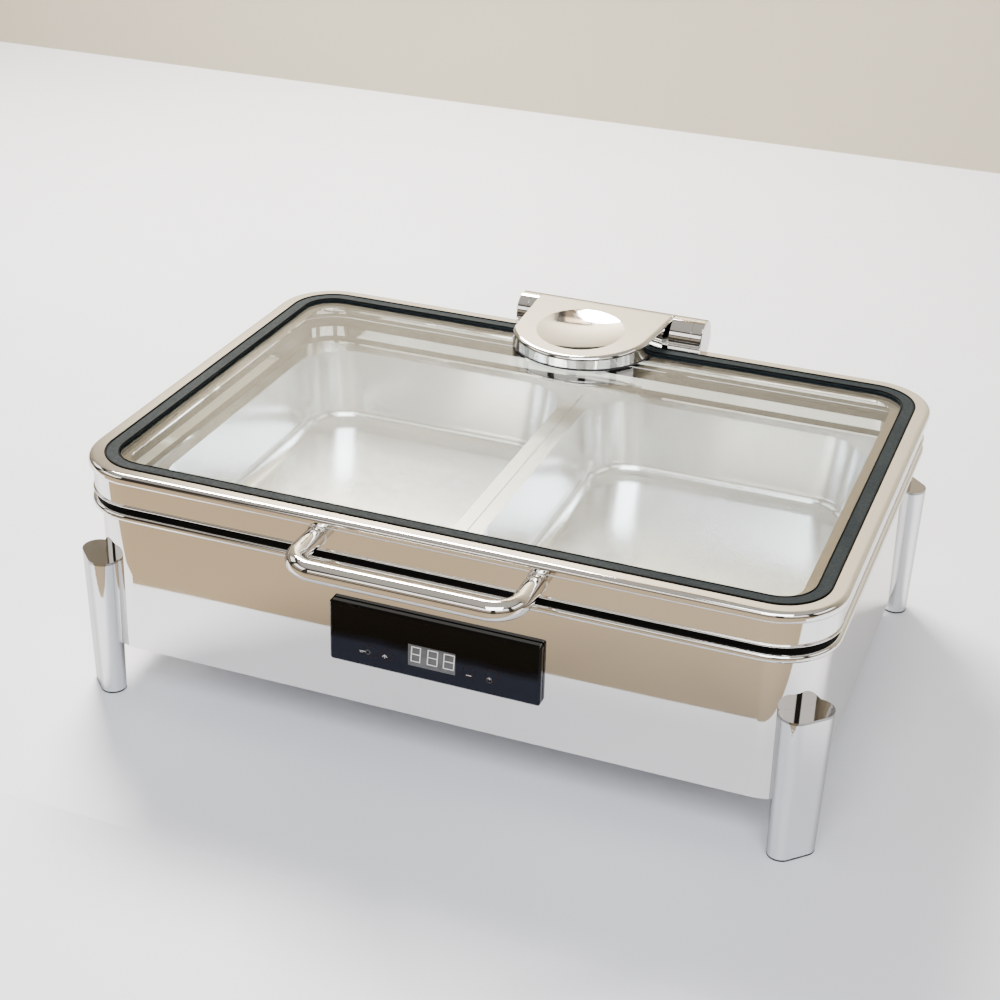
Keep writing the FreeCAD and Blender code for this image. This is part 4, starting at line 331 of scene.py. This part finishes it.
def pan_screws(name, node, outward, head, shank_radius, body, material):
    """Screws with recessed heads in place of a CAD node's plain ones, one on each of its solids."""
    head_radius, head_height = head
    outward = np.array(outward, dtype=float)
    points, faces = np.empty((0, 3)), []
    for low, high in solid_boxes(node):
        length = abs((high - low) @ outward)
        seat = (low + high) / 2 + outward * (length / 2 - head_height)
        new_points, new_faces = pan_screw(len(points), seat, outward, head_radius, head_height,
                                          shank_radius, length - head_height)
        points = np.concatenate((points, new_points))
        faces += new_faces
    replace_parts(build(name, points, faces, material, body, "zinc_steel"), node)


pan_screws("base_screws", "base_plate_screws", (0, 0, -1), (0.00325, 0.002), 0.0017, "base",
           plated_steel("base_screw_zinc", (0.60, 0.61, 0.62)))

# Water pan.  One deep-drawn mirror sheet: rolled rim, ledge for the food pans and basin.  A black
# silicone strip stands on its rim, and a satin channel bridges the basin between the food pans.
wear(["water_pan"],
     mirror_steel("water_pan_steel", (0.87, 0.86, 0.84), 0.03, 0.08, wave=0.00025))
wear(["lid_seal"],
     moulded("seal_silicone", (0.002, 0.002, 0.002), 0.6, relief=0.00003, shine=0.05))
wear(["pan_support_bar"],
     grained_steel("bar_steel", (0.80, 0.81, 0.82), 0.20, 0.32, (1, 16, 16)))

# Food pans.  Two half-size pans pressed from satin steel, with a fine pressed grain; they lie
# loose on the basin's ledge and on the bar.
wear(["left_food_pan", "right_food_pan"],
     grained_steel("food_pan_steel", (0.90, 0.92, 0.95), 0.19, 0.215, (5, 5, 1), scale=24.0,
                   relief=0.000003))

# Lid.  A mirror-polished hoop: skirt, rounded bead, and a ledge inside that carries slate rubber
# and a flush glass.  Its lower edge is rolled; black lips show at both edges of the rubber.  The
# ledge's band is brown: a painted reflection in its colour.
lid_steel = mirror_steel("lid_steel", (0.90, 0.88, 0.86), 0.022, 0.06, wave=0.00025)
wear(["lid_frame"], lid_steel)
lid_low, lid_high = (np.array(corner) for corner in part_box("lid_frame"))
gasket_low, gasket_high = (np.array(corner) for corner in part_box("glass_gasket"))
gasket_half = (gasket_high - gasket_low) / 2
lid_middle_x, lid_middle_y = (lid_low[0] + lid_high[0]) / 2, (gasket_low[1] + gasket_high[1]) / 2
TURN_STEPS = 20


def ring_band(half, corner, level, profile):
    """Points and faces of a closed band round a rounded rectangle at a level of the lid.

    In each quarter the outline is the corner's centre + corner n, with n = (cos a, sin a) over 90
    degrees of a; a profile point (out, up) lies at the outline + out n + up z.
    """
    quarter = np.arange(4)[:, None]
    angle = (math.pi / 2 * (quarter + np.arange(TURN_STEPS + 1) / TURN_STEPS)).reshape(-1)
    normal = np.stack((np.cos(angle), np.sin(angle), np.zeros_like(angle)), axis=-1)
    signs = np.array(((1, 1, 0), (-1, 1, 0), (-1, -1, 0), (1, -1, 0)))
    centre = np.repeat(signs * (half - corner), TURN_STEPS + 1, axis=0)
    outline = np.array((lid_middle_x, lid_middle_y, level)) + centre + corner * normal
    out, up = np.array(profile, dtype=float).T
    points = (outline[:, None] + out[:, None] * normal[:, None]
              + up[:, None] * np.array((0.0, 0.0, 1.0)))
    return points.reshape(-1, 3), skin_faces(0, len(outline), len(profile), closed=True)


def round_profile(radius, steps=12):
    """A circle as (outward, upward) pairs."""
    angle = 2 * math.pi * np.arange(steps) / steps
    return np.stack((radius * np.cos(angle), radius * np.sin(angle)), axis=-1)


BEAD_OVERHANG, SKIRT_RADIUS, HEM_RADIUS = 0.003, 0.047, 0.0011
points, faces = ring_band((lid_high - lid_low) / 2 - BEAD_OVERHANG, SKIRT_RADIUS,
                          lid_low[2] + HEM_RADIUS, round_profile(HEM_RADIUS))
build("lid_hem_roll", points, faces, lid_steel, "lid", "mirror_steel")

slate, tree, surface = new_finish("slate_rubber", (0.013, 0.018, 0.021), 0.0, 0.65)
surface.inputs["Specular IOR Level"].default_value = 0.06
skin = noise_of(tree, scale=500.0, detail=4.0)
tree.links.new(spread(tree, skin, low=0.55, high=0.75), surface.inputs["Roughness"])
tree.links.new(tint(tree, noise_of(tree, scale=12.0), (0.011, 0.016, 0.019),
                    (0.018, 0.024, 0.027)), surface.inputs["Base Color"])
bump(tree, surface, skin, distance=0.00004, strength=0.5)
wear(["glass_gasket"], slate)

OUTER_LIP, OUTER_LIP_CORNER = 0.0009, 0.0371
INNER_LIP, INNER_LIP_CORNER, INNER_LIP_INSET = 0.0006, 0.0271, 0.0109
LIP_STEPS = 8
points, faces = ring_band(gasket_half - OUTER_LIP, OUTER_LIP_CORNER, gasket_high[2],
                          round_profile(OUTER_LIP, LIP_STEPS))
build("gasket_outer_lip", points, faces,
      moulded("lip_rubber", (0.002, 0.002, 0.002), 0.6, shine=0.05), "lid", "black_rubber")
points, faces = ring_band(gasket_half - INNER_LIP_INSET, INNER_LIP_CORNER, gasket_high[2],
                          round_profile(INNER_LIP, LIP_STEPS))
build("gasket_inner_lip", points, faces,
      moulded("inner_lip_rubber", (0.002, 0.002, 0.002), 0.6, shine=0.05), "lid", "black_rubber")

LEDGE_DEPTH, LEDGE_INSET, LEDGE_CORNER = 0.0080, 0.0115, 0.0265
LEDGE_WIDTH, LEDGE_SHEET = 0.0085, 0.0004
points, faces = ring_band(gasket_half - LEDGE_INSET, LEDGE_CORNER, lid_high[2] - LEDGE_DEPTH,
                          [(0, 0), (0, LEDGE_SHEET), (-LEDGE_WIDTH, LEDGE_SHEET),
                           (-LEDGE_WIDTH, 0)])
# Painted reflection: the ledge band's brown colour stands in for a reflection; it is not the steel's
# own colour.
build("lid_ledge_band", points, faces,
      mirror_steel("ledge_painted_reflection_steel", (0.20, 0.14, 0.09), 0.05, 0.12, wave=0.0001), "lid",
      "mirror_steel", smooth=False)

glass, tree, surface = new_finish("clear_glass", (0.95, 0.985, 0.97), 0.0, 0.0)
surface.inputs["Transmission Weight"].default_value = 1.0
surface.inputs["IOR"].default_value = 1.5
wiped = tree.nodes.new("ShaderNodeGroup")
wiped.node_tree = handling_marks
wiped.inputs["Scale"].default_value = 30.0
tree.links.new(spread(tree, wiped.outputs["Marks"], low=0.0, high=0.035, start=0.22, end=0.42),
               surface.inputs["Roughness"])
ray = tree.nodes.new("ShaderNodeLightPath")
clear = tree.nodes.new("ShaderNodeBsdfTransparent")
mix = tree.nodes.new("ShaderNodeMixShader")
tree.links.new(ray.outputs["Is Shadow Ray"], mix.inputs["Fac"])
tree.links.new(surface.outputs["BSDF"], mix.inputs[1])
tree.links.new(clear.outputs["BSDF"], mix.inputs[2])
tree.links.new(mix.outputs["Shader"], tree.nodes["Material Output"].inputs["Surface"])
wear(["lid_glass"], glass)

# Handle.  A bent round tube, mirror-polished, on two screws from inside the skirt; a thin turned
# washer closes each root.
handle_steel = mirror_steel("handle_steel", (0.90, 0.88, 0.85), 0.02, 0.06, wave=0.0001,
                            edge=0.06, painted_shade_start=0.50)
wear(["lid_handle"], handle_steel)
wear(["handle_inserts"], plated_steel("handle_insert_zinc", (0.60, 0.60, 0.62)))
wear(["handle_screws"], plated_steel("handle_screw_zinc", (0.63, 0.64, 0.66)))
TUBE_RADIUS, WASHER_RADIUS, WASHER_LENGTH, WASHER_EDGE = 0.0075, 0.0083, 0.0012, 0.0003
WASHER_SIDES = 40


def handle_washers():
    """Points and faces of both washers.

    The outline's (radius r, reach o) pairs are turned about the tube's axis: the root +
    (r cos a, -o, r sin a), with the root on the skirt at each end of the handle's span.
    """
    low, high = (np.array(corner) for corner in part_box("lid_handle"))
    outline = np.array(((TUBE_RADIUS, 0.0), (WASHER_RADIUS - WASHER_EDGE, 0.0),
                        (WASHER_RADIUS, WASHER_EDGE),
                        (WASHER_RADIUS, WASHER_LENGTH - WASHER_EDGE),
                        (WASHER_RADIUS - WASHER_EDGE, WASHER_LENGTH),
                        (TUBE_RADIUS, WASHER_LENGTH)))
    radius, reach = outline.T
    angle = (2 * math.pi * np.arange(WASHER_SIDES) / WASHER_SIDES)[:, None]
    around = np.stack(np.broadcast_arrays(radius * np.cos(angle), -reach, radius * np.sin(angle)),
                      axis=-1).reshape(-1, 3)
    middle = (low + high) / 2
    out = (high[0] - low[0]) / 2 - TUBE_RADIUS
    roots = [np.array((middle[0] + side * out, high[1], middle[2])) for side in (-1, 1)]
    faces = (skin_faces(0, WASHER_SIDES, len(outline), closed=True)
             + skin_faces(len(around), WASHER_SIDES, len(outline), closed=True))
    return np.concatenate([root + around for root in roots]), faces


build("handle_washers", *handle_washers(), handle_steel, "lid", "mirror_steel")

# Hinge.  A polished cover over the lid's damped barrel, between fixed knuckles on a bracket that
# is screwed to the casing's back.  Inside: satin tube, acetal bushes, damper, coil and pin.
wear(["hinge_bracket", "left_hinge_cap", "right_hinge_cap"],
     mirror_steel("hinge_steel", (0.86, 0.85, 0.83), 0.03, 0.08, wave=0.0001))
wear(["hinge_cover"],
     mirror_steel("hinge_cover_steel", (0.88, 0.87, 0.85), 0.03, 0.09, wave=0.0002))
wear(["hinge_barrel"],
     grained_steel("barrel_steel", (0.68, 0.67, 0.66), 0.22, 0.36, (1, 12, 12), scale=90.0))
wear(["hinge_lid_plate", "hinge_backing_plate"],
     grained_steel("hinge_plate_steel", (0.66, 0.66, 0.65), 0.25, 0.38, (1, 12, 12)))
wear(["hinge_pin"],
     grained_steel("pin_steel", (0.62, 0.62, 0.62), 0.16, 0.30, (1, 20, 20), scale=120.0))
wear(["hinge_spring"], plated_steel("spring_steel", (0.42, 0.42, 0.44)))
wear(["hinge_lid_bolts"], plated_steel("lid_bolt_zinc", (0.63, 0.64, 0.65)))
wear(["hinge_bushes"],
     moulded("acetal", (0.78, 0.77, 0.73), 0.42, relief=0.00002, scale=500.0, tone=0.95))
wear(["hinge_damper"], moulded("damper_plastic", (0.025, 0.025, 0.028), 0.45))
wear(["hinge_pad"], moulded("pad_rubber", (0.018, 0.018, 0.019), 0.6, relief=0.00006))
pan_screws("bracket_screws", "hinge_bracket_screws", (0, 1, 0), (0.00375, 0.0024), 0.002, "base",
           plated_steel("bracket_screw_zinc", (0.64, 0.65, 0.66)))

# Control panel.  Black back-printed glass with a bevel, on a plastic tray; behind it the display,
# the contact springs and the control board.  Marks and figures are thin light lines.  The glass's
# lower part turns dark navy: a painted reflection in its colour.
panel_low, panel_high = (np.array(corner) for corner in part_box("panel_glass"))
# Painted reflection: below a wavy line the black glass's colour turns dark navy, in place of light
# mirrored in its lower part.
REFLECTION_RIPPLE, REFLECTION_LINE_SHARE, REFLECTION_LINE_RISE, REFLECTION_LINE_SOFT = 0.012, 0.44, 0.006, 0.003
painted_reflection_line = float((1 - REFLECTION_LINE_SHARE) * panel_low[2] + REFLECTION_LINE_SHARE * panel_high[2]) + REFLECTION_LINE_RISE
panel, tree, surface = new_finish("panel_glass_black", (0.004, 0.003, 0.003), 0.0, 0.03)
place = tree.nodes.new("ShaderNodeTexCoord")
axes = tree.nodes.new("ShaderNodeSeparateXYZ")
tree.links.new(place.outputs["Object"], axes.inputs["Vector"])
height = worked_out(tree, "MULTIPLY_ADD", noise_of(tree, scale=22.0, detail=1.0), REFLECTION_RIPPLE,
                    axes.outputs["Z"])
tree.links.new(tint(tree, height, (0.010, 0.012, 0.022), (0.003, 0.0025, 0.002),
                    painted_reflection_line - REFLECTION_LINE_SOFT, painted_reflection_line + REFLECTION_LINE_SOFT), surface.inputs["Base Color"])
tree.links.new(spread(tree, noise_of(tree, scale=35.0), low=0.02, high=0.05),
               surface.inputs["Roughness"])
surface.inputs["Specular IOR Level"].default_value = 0.12
wear(["panel_glass"], panel)
wear(["panel_housing"], moulded("housing_plastic", (0.022, 0.022, 0.024), 0.5))
wear(["display_module"], moulded("display_face", (0.12, 0.125, 0.13), 0.35, relief=0.00001))
wear(["touch_springs"], plated_steel("touch_spring_zinc", (0.66, 0.66, 0.64)))
wear(["control_board_screws"], plated_steel("board_screw_zinc", (0.62, 0.62, 0.62)))

INLAY_GAP, STROKE_LIFT = 0.00006, 0.00004
PANEL_OFFSET = 0.0067
panel_origin_x = (panel_low[0] + panel_high[0]) / 2 - PANEL_OFFSET


def on_face(pairs, lift=0.0):
    """Pairs of millimetres, to the right and up from the table, as points before the glass."""
    x, z = np.array(pairs, dtype=float).T / 1000
    y = np.full_like(x, panel_low[1] - INLAY_GAP - lift)
    return np.stack((panel_origin_x + x, y, z), axis=-1)


def stroke_mesh(lines, width):
    """Points and faces of flat lines.

    Each segment from a to b is a rectangle from a - u to b + u, half a width to either side, where
    u is half a width along the segment.
    """
    lines = [np.array(line, dtype=float) for line in lines]
    starts = np.concatenate([line[:-1] for line in lines])
    ends = np.concatenate([line[1:] for line in lines])
    along = ends - starts
    along *= width / 2 / np.linalg.norm(along, axis=1, keepdims=True)
    across = np.stack((-along[:, 1], along[:, 0]), axis=-1)
    a, b = starts - along, ends + along
    corners = np.stack((a - across, b - across, b + across, a + across), axis=1).reshape(-1, 2)
    return on_face(corners, STROKE_LIFT), np.arange(len(corners)).reshape(-1, 4).tolist()


def arc(x, z, radius, first, last, steps=18):
    """Points along a circle from one bearing to another, in degrees."""
    angle = np.radians(first + (last - first) * np.arange(steps + 1) / steps)
    return np.stack((x + radius * np.cos(angle), z + radius * np.sin(angle)), axis=-1)


def moved(lines, to):
    """Lines drawn about a mark's own middle, moved to its place."""
    return [np.array(line, dtype=float) + to for line in lines]


WINDOW_MIDDLE, WINDOW_HALF = np.array((5.7, 99.85)), np.array((18.5, 9.0))
CORNER_SIGNS = np.array(((-1, -1), (1, -1), (1, 1), (-1, 1)))
window, tree, surface = new_finish("display_window", (0.115, 0.118, 0.13), 0.0, 0.12)
tree.links.new(tint(tree, noise_of(tree, scale=160.0, detail=2.0), (0.10, 0.104, 0.115),
                    (0.135, 0.14, 0.15)), surface.inputs["Base Color"])
tree.links.new(spread(tree, noise_of(tree, scale=90.0), low=0.08, high=0.2),
               surface.inputs["Roughness"])
build("display_window_inlay", on_face(WINDOW_MIDDLE + CORNER_SIGNS * WINDOW_HALF),
      [(0, 1, 2, 3)], window, "base", "display_grey", smooth=False)

FIGURES = ((-10.8, -2.5), (2.0, 10.9), (14.6, 23.9))
FIGURE_FOOT, FIGURE_WAIST, FIGURE_TOP = 94.8, 100.9, 107.0
FIGURE_LEAN, FIGURE_INSET, FIGURE_LINE = 0.7, 0.35, 0.75
# Painted glow: the figures' outlines emit a faint light, though the display is not a lamp.
glowing_figure, tree, surface = new_finish("figure_line", (0.80, 0.81, 0.80), 0.0, 0.35)
surface.inputs["Emission Color"].default_value = (0.9, 0.92, 0.9, 1.0)
surface.inputs["Emission Strength"].default_value = 0.25
tree.links.new(tint(tree, noise_of(tree, scale=300.0), (0.70, 0.71, 0.71), (0.86, 0.87, 0.86)),
               surface.inputs["Base Color"])
figure_lines = []
for left, right in FIGURES:
    left, right = left + FIGURE_INSET, right - FIGURE_INSET
    figure_lines += [[(left, FIGURE_FOOT), (right - FIGURE_LEAN, FIGURE_FOOT),
                      (right, FIGURE_TOP), (left + FIGURE_LEAN, FIGURE_TOP), (left, FIGURE_FOOT)],
                     [(left + FIGURE_LEAN / 2, FIGURE_WAIST),
                      (right - FIGURE_LEAN / 2, FIGURE_WAIST)]]
points, faces = stroke_mesh(figure_lines, FIGURE_LINE)
build("display_figures", points, faces, glowing_figure, "base", "display_grey", smooth=False)

KEY_PLACE, UP_PLACE, MINUS_PLACE, POWER_PLACE = (-51.2, 93.5), (-31.3, 93.6), (34.7, 93.5), (50.7, 93.4)
MARK_LINE = 0.55
key_mark = [[(0.0, 0.0), (4.6, 0.0)], [(0.6, 0.0), (0.6, -1.2)], [(2.0, 0.0), (2.0, -1.0)],
            arc(6.4, 0.0, 1.7, 180, 540)]
up_mark = [[(-1.7, -0.8), (0.0, 0.9), (1.7, -0.8)], [(0.0, 0.7), (0.0, -1.8)]]
minus_mark = [[(-1.8, 0.0), (1.8, 0.0)]]
power_mark = [arc(0.0, 0.0, 1.9, 120, 420), [(0.0, 0.2), (0.0, 2.3)]]
points, faces = stroke_mesh(moved(key_mark, KEY_PLACE) + moved(up_mark, UP_PLACE)
                            + moved(minus_mark, MINUS_PLACE) + moved(power_mark, POWER_PLACE),
                            MARK_LINE)
mark, tree, surface = new_finish("mark_line", (0.70, 0.71, 0.70), 0.0, 0.4)
tree.links.new(tint(tree, noise_of(tree, scale=400.0), (0.60, 0.61, 0.61), (0.78, 0.79, 0.78)),
               surface.inputs["Base Color"])
build("touch_marks", points, faces, mark, "base", "black_glass", smooth=False)

RINGS = ((-42.0, 95.0, 4.8), (-29.6, 94.4, 4.8), (34.6, 96.4, 4.8), (52.6, 98.1, 5.0))
RING_LINE = 0.5
points, faces = stroke_mesh([arc(x, z, radius, 0, 360, steps=30) for x, z, radius in RINGS],
                            RING_LINE)
faint, tree, surface = new_finish("ring_line", (0.045, 0.006, 0.005), 0.0, 0.2)
tree.links.new(tint(tree, noise_of(tree, scale=200.0), (0.022, 0.004, 0.004),
                    (0.055, 0.008, 0.006)), surface.inputs["Base Color"])
build("touch_rings", points, faces, faint, "base", "black_glass", smooth=False)

# Boards.  Green glass-fibre with copper traces under the lacquer; the power board stands on
# standoffs behind the basin with a taped transformer, a relay and terminals.


def bands_of(tree, direction, scale, distortion, detail=2.0):
    """Bands across one axis of object space, bent by a little noise; returns their factor."""
    place = tree.nodes.new("ShaderNodeTexCoord")
    wave = tree.nodes.new("ShaderNodeTexWave")
    wave.wave_type = "BANDS"
    wave.bands_direction = direction
    wave.inputs["Scale"].default_value = scale
    wave.inputs["Distortion"].default_value = distortion
    wave.inputs["Detail"].default_value = detail
    tree.links.new(place.outputs["Object"], wave.inputs["Vector"])
    return wave.outputs["Fac"]


def circuit_board(name, across):
    """Green lacquer over traces: the bright tops of distorted bands."""
    material, tree, surface = new_finish(name, (0.02, 0.12, 0.05), 0.0, 0.32)
    traces = bands_of(tree, across, scale=90.0, distortion=3.0, detail=1.0)
    tree.links.new(tint(tree, traces, (0.012, 0.085, 0.035), (0.05, 0.22, 0.09), 0.6, 0.75),
                   surface.inputs["Base Color"])
    tree.links.new(spread(tree, noise_of(tree, scale=300.0), low=0.25, high=0.4),
                   surface.inputs["Roughness"])
    bump(tree, surface, traces, distance=0.00004, strength=0.6)
    return material


wear(["control_board"], circuit_board("control_board_green", "X"))
wear(["power_board"], circuit_board("power_board_green", "Z"))
tape, tree, surface = new_finish("winding_tape", (0.62, 0.42, 0.06), 0.0, 0.35)
turns = bands_of(tree, "Z", scale=60.0, distortion=0.6)
tree.links.new(tint(tree, turns, (0.45, 0.29, 0.03), (0.70, 0.49, 0.08), 0.1, 0.6),
               surface.inputs["Base Color"])
tree.links.new(spread(tree, noise_of(tree, scale=250.0), low=0.28, high=0.45),
               surface.inputs["Roughness"])
bump(tree, surface, turns, distance=0.0001, strength=0.5)
wear(["power_transformer"], tape)
wear(["power_relay"], moulded("relay_case", (0.03, 0.045, 0.10), 0.35, relief=0.00002))
wear(["power_terminals"], moulded("terminal_green", (0.05, 0.16, 0.06), 0.45))
wear(["board_standoffs"], plated_steel("standoff_zinc", (0.66, 0.62, 0.50)))
wear(["power_board_screws"], plated_steel("power_screw_zinc", (0.62, 0.63, 0.64)))

# Heater.  An aluminium plate pressed to the basin's underside with a sheathed tube on studs and
# straps; a temperature sensor and a thermal cutout sit on the plate.
wear(["heating_plate"],
     grained_steel("plate_aluminium", (0.76, 0.77, 0.78), 0.30, 0.45, (1, 10, 10)))
sheath, tree, surface = new_finish("heater_sheath", (0.30, 0.27, 0.24), 1.0, 0.42)
tree.links.new(tint(tree, noise_of(tree, scale=16.0, detail=4.0), (0.20, 0.16, 0.13),
                    (0.42, 0.38, 0.33)), surface.inputs["Base Color"])
tree.links.new(spread(tree, noise_of(tree, scale=180.0), low=0.34, high=0.55),
               surface.inputs["Roughness"])
bump(tree, surface, noise_of(tree, scale=600.0), distance=0.00003, strength=0.5)
wear(["heating_tube"], sheath)
wear(["heater_straps"],
     grained_steel("strap_steel", (0.62, 0.61, 0.60), 0.28, 0.42, (12, 1, 12)))
wear(["heater_studs"], plated_steel("stud_zinc", (0.60, 0.61, 0.62)))
wear(["temperature_sensor"],
     grained_steel("sensor_aluminium", (0.72, 0.73, 0.74), 0.28, 0.42, (8, 8, 1)))
wear(["thermal_cutout"], moulded("cutout_phenolic", (0.05, 0.035, 0.025), 0.5))

# Power inlet and leads.  A black socket with three flat brass pins, screwed in the back wall, and
# silicone-covered leads to heater, panel and power board.
wear(["power_inlet"], moulded("inlet_plastic", (0.016, 0.016, 0.018), 0.48))
wear(["inlet_pins"],
     grained_steel("pin_brass", (0.80, 0.62, 0.28), 0.22, 0.36, (12, 1, 12), scale=80.0))
wear(["wiring_loom"],
     moulded("lead_silicone", (0.36, 0.05, 0.035), 0.5, relief=0.00002, scale=900.0))
pan_screws("inlet_fixing_screws", "inlet_screws", (0, 1, 0), (0.0028, 0.0018), 0.0015, "base",
           plated_steel("inlet_screw_zinc", (0.62, 0.63, 0.64)))

# Table, wall and lights.  A pale table before a wall.  Its front part is tan where steel mirrors
# it and pale for the camera; the cards on the wall are above the view and show only in steel.


def flat(name, corners, color, roughness=0.6, seen=None):
    """A flat stage surface with a faint mottle; seen is its colour for the camera alone."""
    mesh = bpy.data.meshes.new(name)
    mesh.from_pydata(corners, [], [tuple(range(len(corners)))])
    item = bpy.data.objects.new(name, mesh)
    bpy.context.scene.collection.objects.link(item)
    material, tree, surface = new_finish(name, color, 0.0, roughness)
    dark = tuple(0.96 * level for level in color)
    shade = tint(tree, noise_of(tree, scale=3.0, detail=5.0), dark, color)
    if seen:
        ray = tree.nodes.new("ShaderNodeLightPath")
        choice = tree.nodes.new("ShaderNodeMix")
        choice.data_type = "RGBA"
        tree.links.new(ray.outputs["Is Camera Ray"], choice.inputs["Factor"])
        tree.links.new(shade, choice.inputs["A"])
        choice.inputs["B"].default_value = (*seen, 1.0)
        shade = choice.outputs["Result"]
    tree.links.new(shade, surface.inputs["Base Color"])
    mesh.materials.append(material)


def card(name, y, foot, head, color):
    """An upright card; foot and head are each (left, right, height)."""
    flat(name, [(foot[0], y, foot[2]), (foot[1], y, foot[2]), (head[1], y, head[2]),
                (head[0], y, head[2])], color, 0.8)


TABLE_REACH, WALL_REACH, WALL_Y, WALL_HEIGHT = 3, 4, 1.5, 3
EDGE_LEFT, EDGE_RIGHT = -0.283, -0.400
TABLE_PALE, TABLE_TAN = (0.84, 0.87, 0.95), (0.27, 0.205, 0.125)
CARD_DARK, CARD_TAN = (0.012, 0.011, 0.010), (0.42, 0.31, 0.19)
flat("table", [(-TABLE_REACH, EDGE_LEFT, 0), (TABLE_REACH, EDGE_RIGHT, 0),
               (TABLE_REACH, WALL_Y, 0), (-TABLE_REACH, WALL_Y, 0)], TABLE_PALE, 0.4)
flat("table_front", [(-TABLE_REACH, -TABLE_REACH, 0), (TABLE_REACH, -TABLE_REACH, 0),
                     (TABLE_REACH, EDGE_RIGHT, 0), (-TABLE_REACH, EDGE_LEFT, 0)],
     TABLE_TAN, 0.5, seen=TABLE_PALE)
flat("wall", [(-WALL_REACH, WALL_Y, 0), (WALL_REACH, WALL_Y, 0),
              (WALL_REACH, WALL_Y, WALL_HEIGHT), (-WALL_REACH, WALL_Y, WALL_HEIGHT)],
     (0.60, 0.53, 0.40), 0.7)
card("dark_card", 1.48, (-0.62, -0.26, 1.5), (-0.68, -0.20, 2.2), CARD_DARK)
card("tan_card", 1.47, (-0.55, -0.33, 1.55), (-0.59, -0.29, 2.15), CARD_TAN)
card("low_card", 1.48, (-0.75, -0.13, 0.36), (-0.75, -0.13, 0.48), CARD_DARK)

ROOM_FOOT, ROOM_TOP = (0.26, 0.20, 0.14), (0.55, 0.52, 0.47)
ROOM_BANDS = ((0.02, (0.02, 0.017, 0.015)), (0.09, (0.02, 0.017, 0.015)),
              (0.11, (0.40, 0.33, 0.25)), (0.27, (0.46, 0.39, 0.31)),
              (0.30, (0.03, 0.027, 0.024)), (0.36, (0.03, 0.027, 0.024)),
              (0.38, (2.4, 2.33, 2.2)), (0.60, (2.4, 2.36, 2.25)),
              (0.63, (0.05, 0.046, 0.042)), (0.70, (0.05, 0.046, 0.042)),
              (0.73, (0.50, 0.46, 0.41)))
UPRIGHTS, UPRIGHTS_TURN, UPRIGHT_COLOR = 7.0, 0.6, (0.05, 0.042, 0.035)


def room():
    """A world of bands by height, with bright windows, crossed by dark uprights round about.

    Each band stands at the sine of its height above the horizon.  The uprights are where
    sin(UPRIGHTS bearing + UPRIGHTS_TURN) is near 1, and they fade out overhead.
    """
    world = bpy.data.worlds.new("room")
    bpy.context.scene.world = world
    world.use_nodes = True
    tree = world.node_tree
    place = tree.nodes.new("ShaderNodeTexCoord")
    axes = tree.nodes.new("ShaderNodeSeparateXYZ")
    tree.links.new(place.outputs["Generated"], axes.inputs["Vector"])
    ramp = tree.nodes.new("ShaderNodeValToRGB")
    foot, top = ramp.color_ramp.elements
    foot.position, foot.color = 0.0, (*ROOM_FOOT, 1.0)
    top.position, top.color = 1.0, (*ROOM_TOP, 1.0)
    for position, color in ROOM_BANDS:
        ramp.color_ramp.elements.new(position).color = (*color, 1.0)
    tree.links.new(axes.outputs["Z"], ramp.inputs["Fac"])
    bearing = worked_out(tree, "ARCTAN2", axes.outputs["X"], axes.outputs["Y"])
    turned = worked_out(tree, "MULTIPLY_ADD", bearing, UPRIGHTS, UPRIGHTS_TURN)
    uprights = spread(tree, worked_out(tree, "SINE", turned), 0.0, 1.0, start=0.62, end=0.80)
    below = spread(tree, axes.outputs["Z"], 1.0, 0.0, start=0.66, end=0.80)
    shade = tree.nodes.new("ShaderNodeMix")
    shade.data_type = "RGBA"
    shade.inputs["B"].default_value = (*UPRIGHT_COLOR, 1.0)
    tree.links.new(worked_out(tree, "MULTIPLY", uprights, below), shade.inputs["Factor"])
    tree.links.new(ramp.outputs["Color"], shade.inputs["A"])
    tree.links.new(shade.outputs["Result"], tree.nodes["Background"].inputs["Color"])
    tree.nodes["Background"].inputs["Strength"].default_value = 1.0


room()


def lamp(name, where, aim, size, power, color):
    """A soft area lamp aimed at a point."""
    data = bpy.data.lights.new(name, "AREA")
    data.shape = "RECTANGLE"
    data.size, data.size_y = size
    data.energy = power
    data.color = color
    item = bpy.data.objects.new(name, data)
    item.location = where
    item.rotation_euler = (Vector(aim) - Vector(where)).to_track_quat("-Z", "Y").to_euler()
    bpy.context.scene.collection.objects.link(item)


WARMER = (0, 0, 0.1)
lamp("key", (-0.9, 1.2, 1.7), WARMER, (0.9, 0.6), 150.0, (1.0, 0.95, 0.86))
lamp("fill", (0.6, -1.6, 1.9), WARMER, (1.6, 1.2), 52.0, (0.94, 0.97, 1.0))

# Camera.  Where the photograph was taken from: in front, to the right and above, with a long lens
# and a slight roll.
CAMERA_PLACE, CAMERA_LENS, SENSOR_WIDTH = (0.44671, -1.25388, 0.8318), 67.574, 36.0
BEARING, DROP, ROLL = math.radians(-20.255), math.radians(27.589), math.radians(1.665)


def photo_camera():
    """A camera from a bearing b, a drop d and a roll, fitted to the photograph's outlines.

    forward = (sin b cos d, cos b cos d, -sin d); right = (cos b, -sin b, 0);
    up = right x forward, and both are then turned by the roll about forward.
    """
    forward = Vector((math.sin(BEARING) * math.cos(DROP), math.cos(BEARING) * math.cos(DROP),
                      -math.sin(DROP)))
    right = Vector((math.cos(BEARING), -math.sin(BEARING), 0.0))
    up = right.cross(forward)
    across = right * math.cos(ROLL) + up * math.sin(ROLL)
    above = up * math.cos(ROLL) - right * math.sin(ROLL)
    data = bpy.data.cameras.new("photo_camera")
    data.lens = CAMERA_LENS
    data.sensor_width = SENSOR_WIDTH
    item = bpy.data.objects.new("photo_camera", data)
    turn = Matrix((across, above, -forward)).transposed()
    item.matrix_world = Matrix.Translation(CAMERA_PLACE) @ turn.to_4x4()
    bpy.context.scene.collection.objects.link(item)
    bpy.context.scene.camera = item


photo_camera()
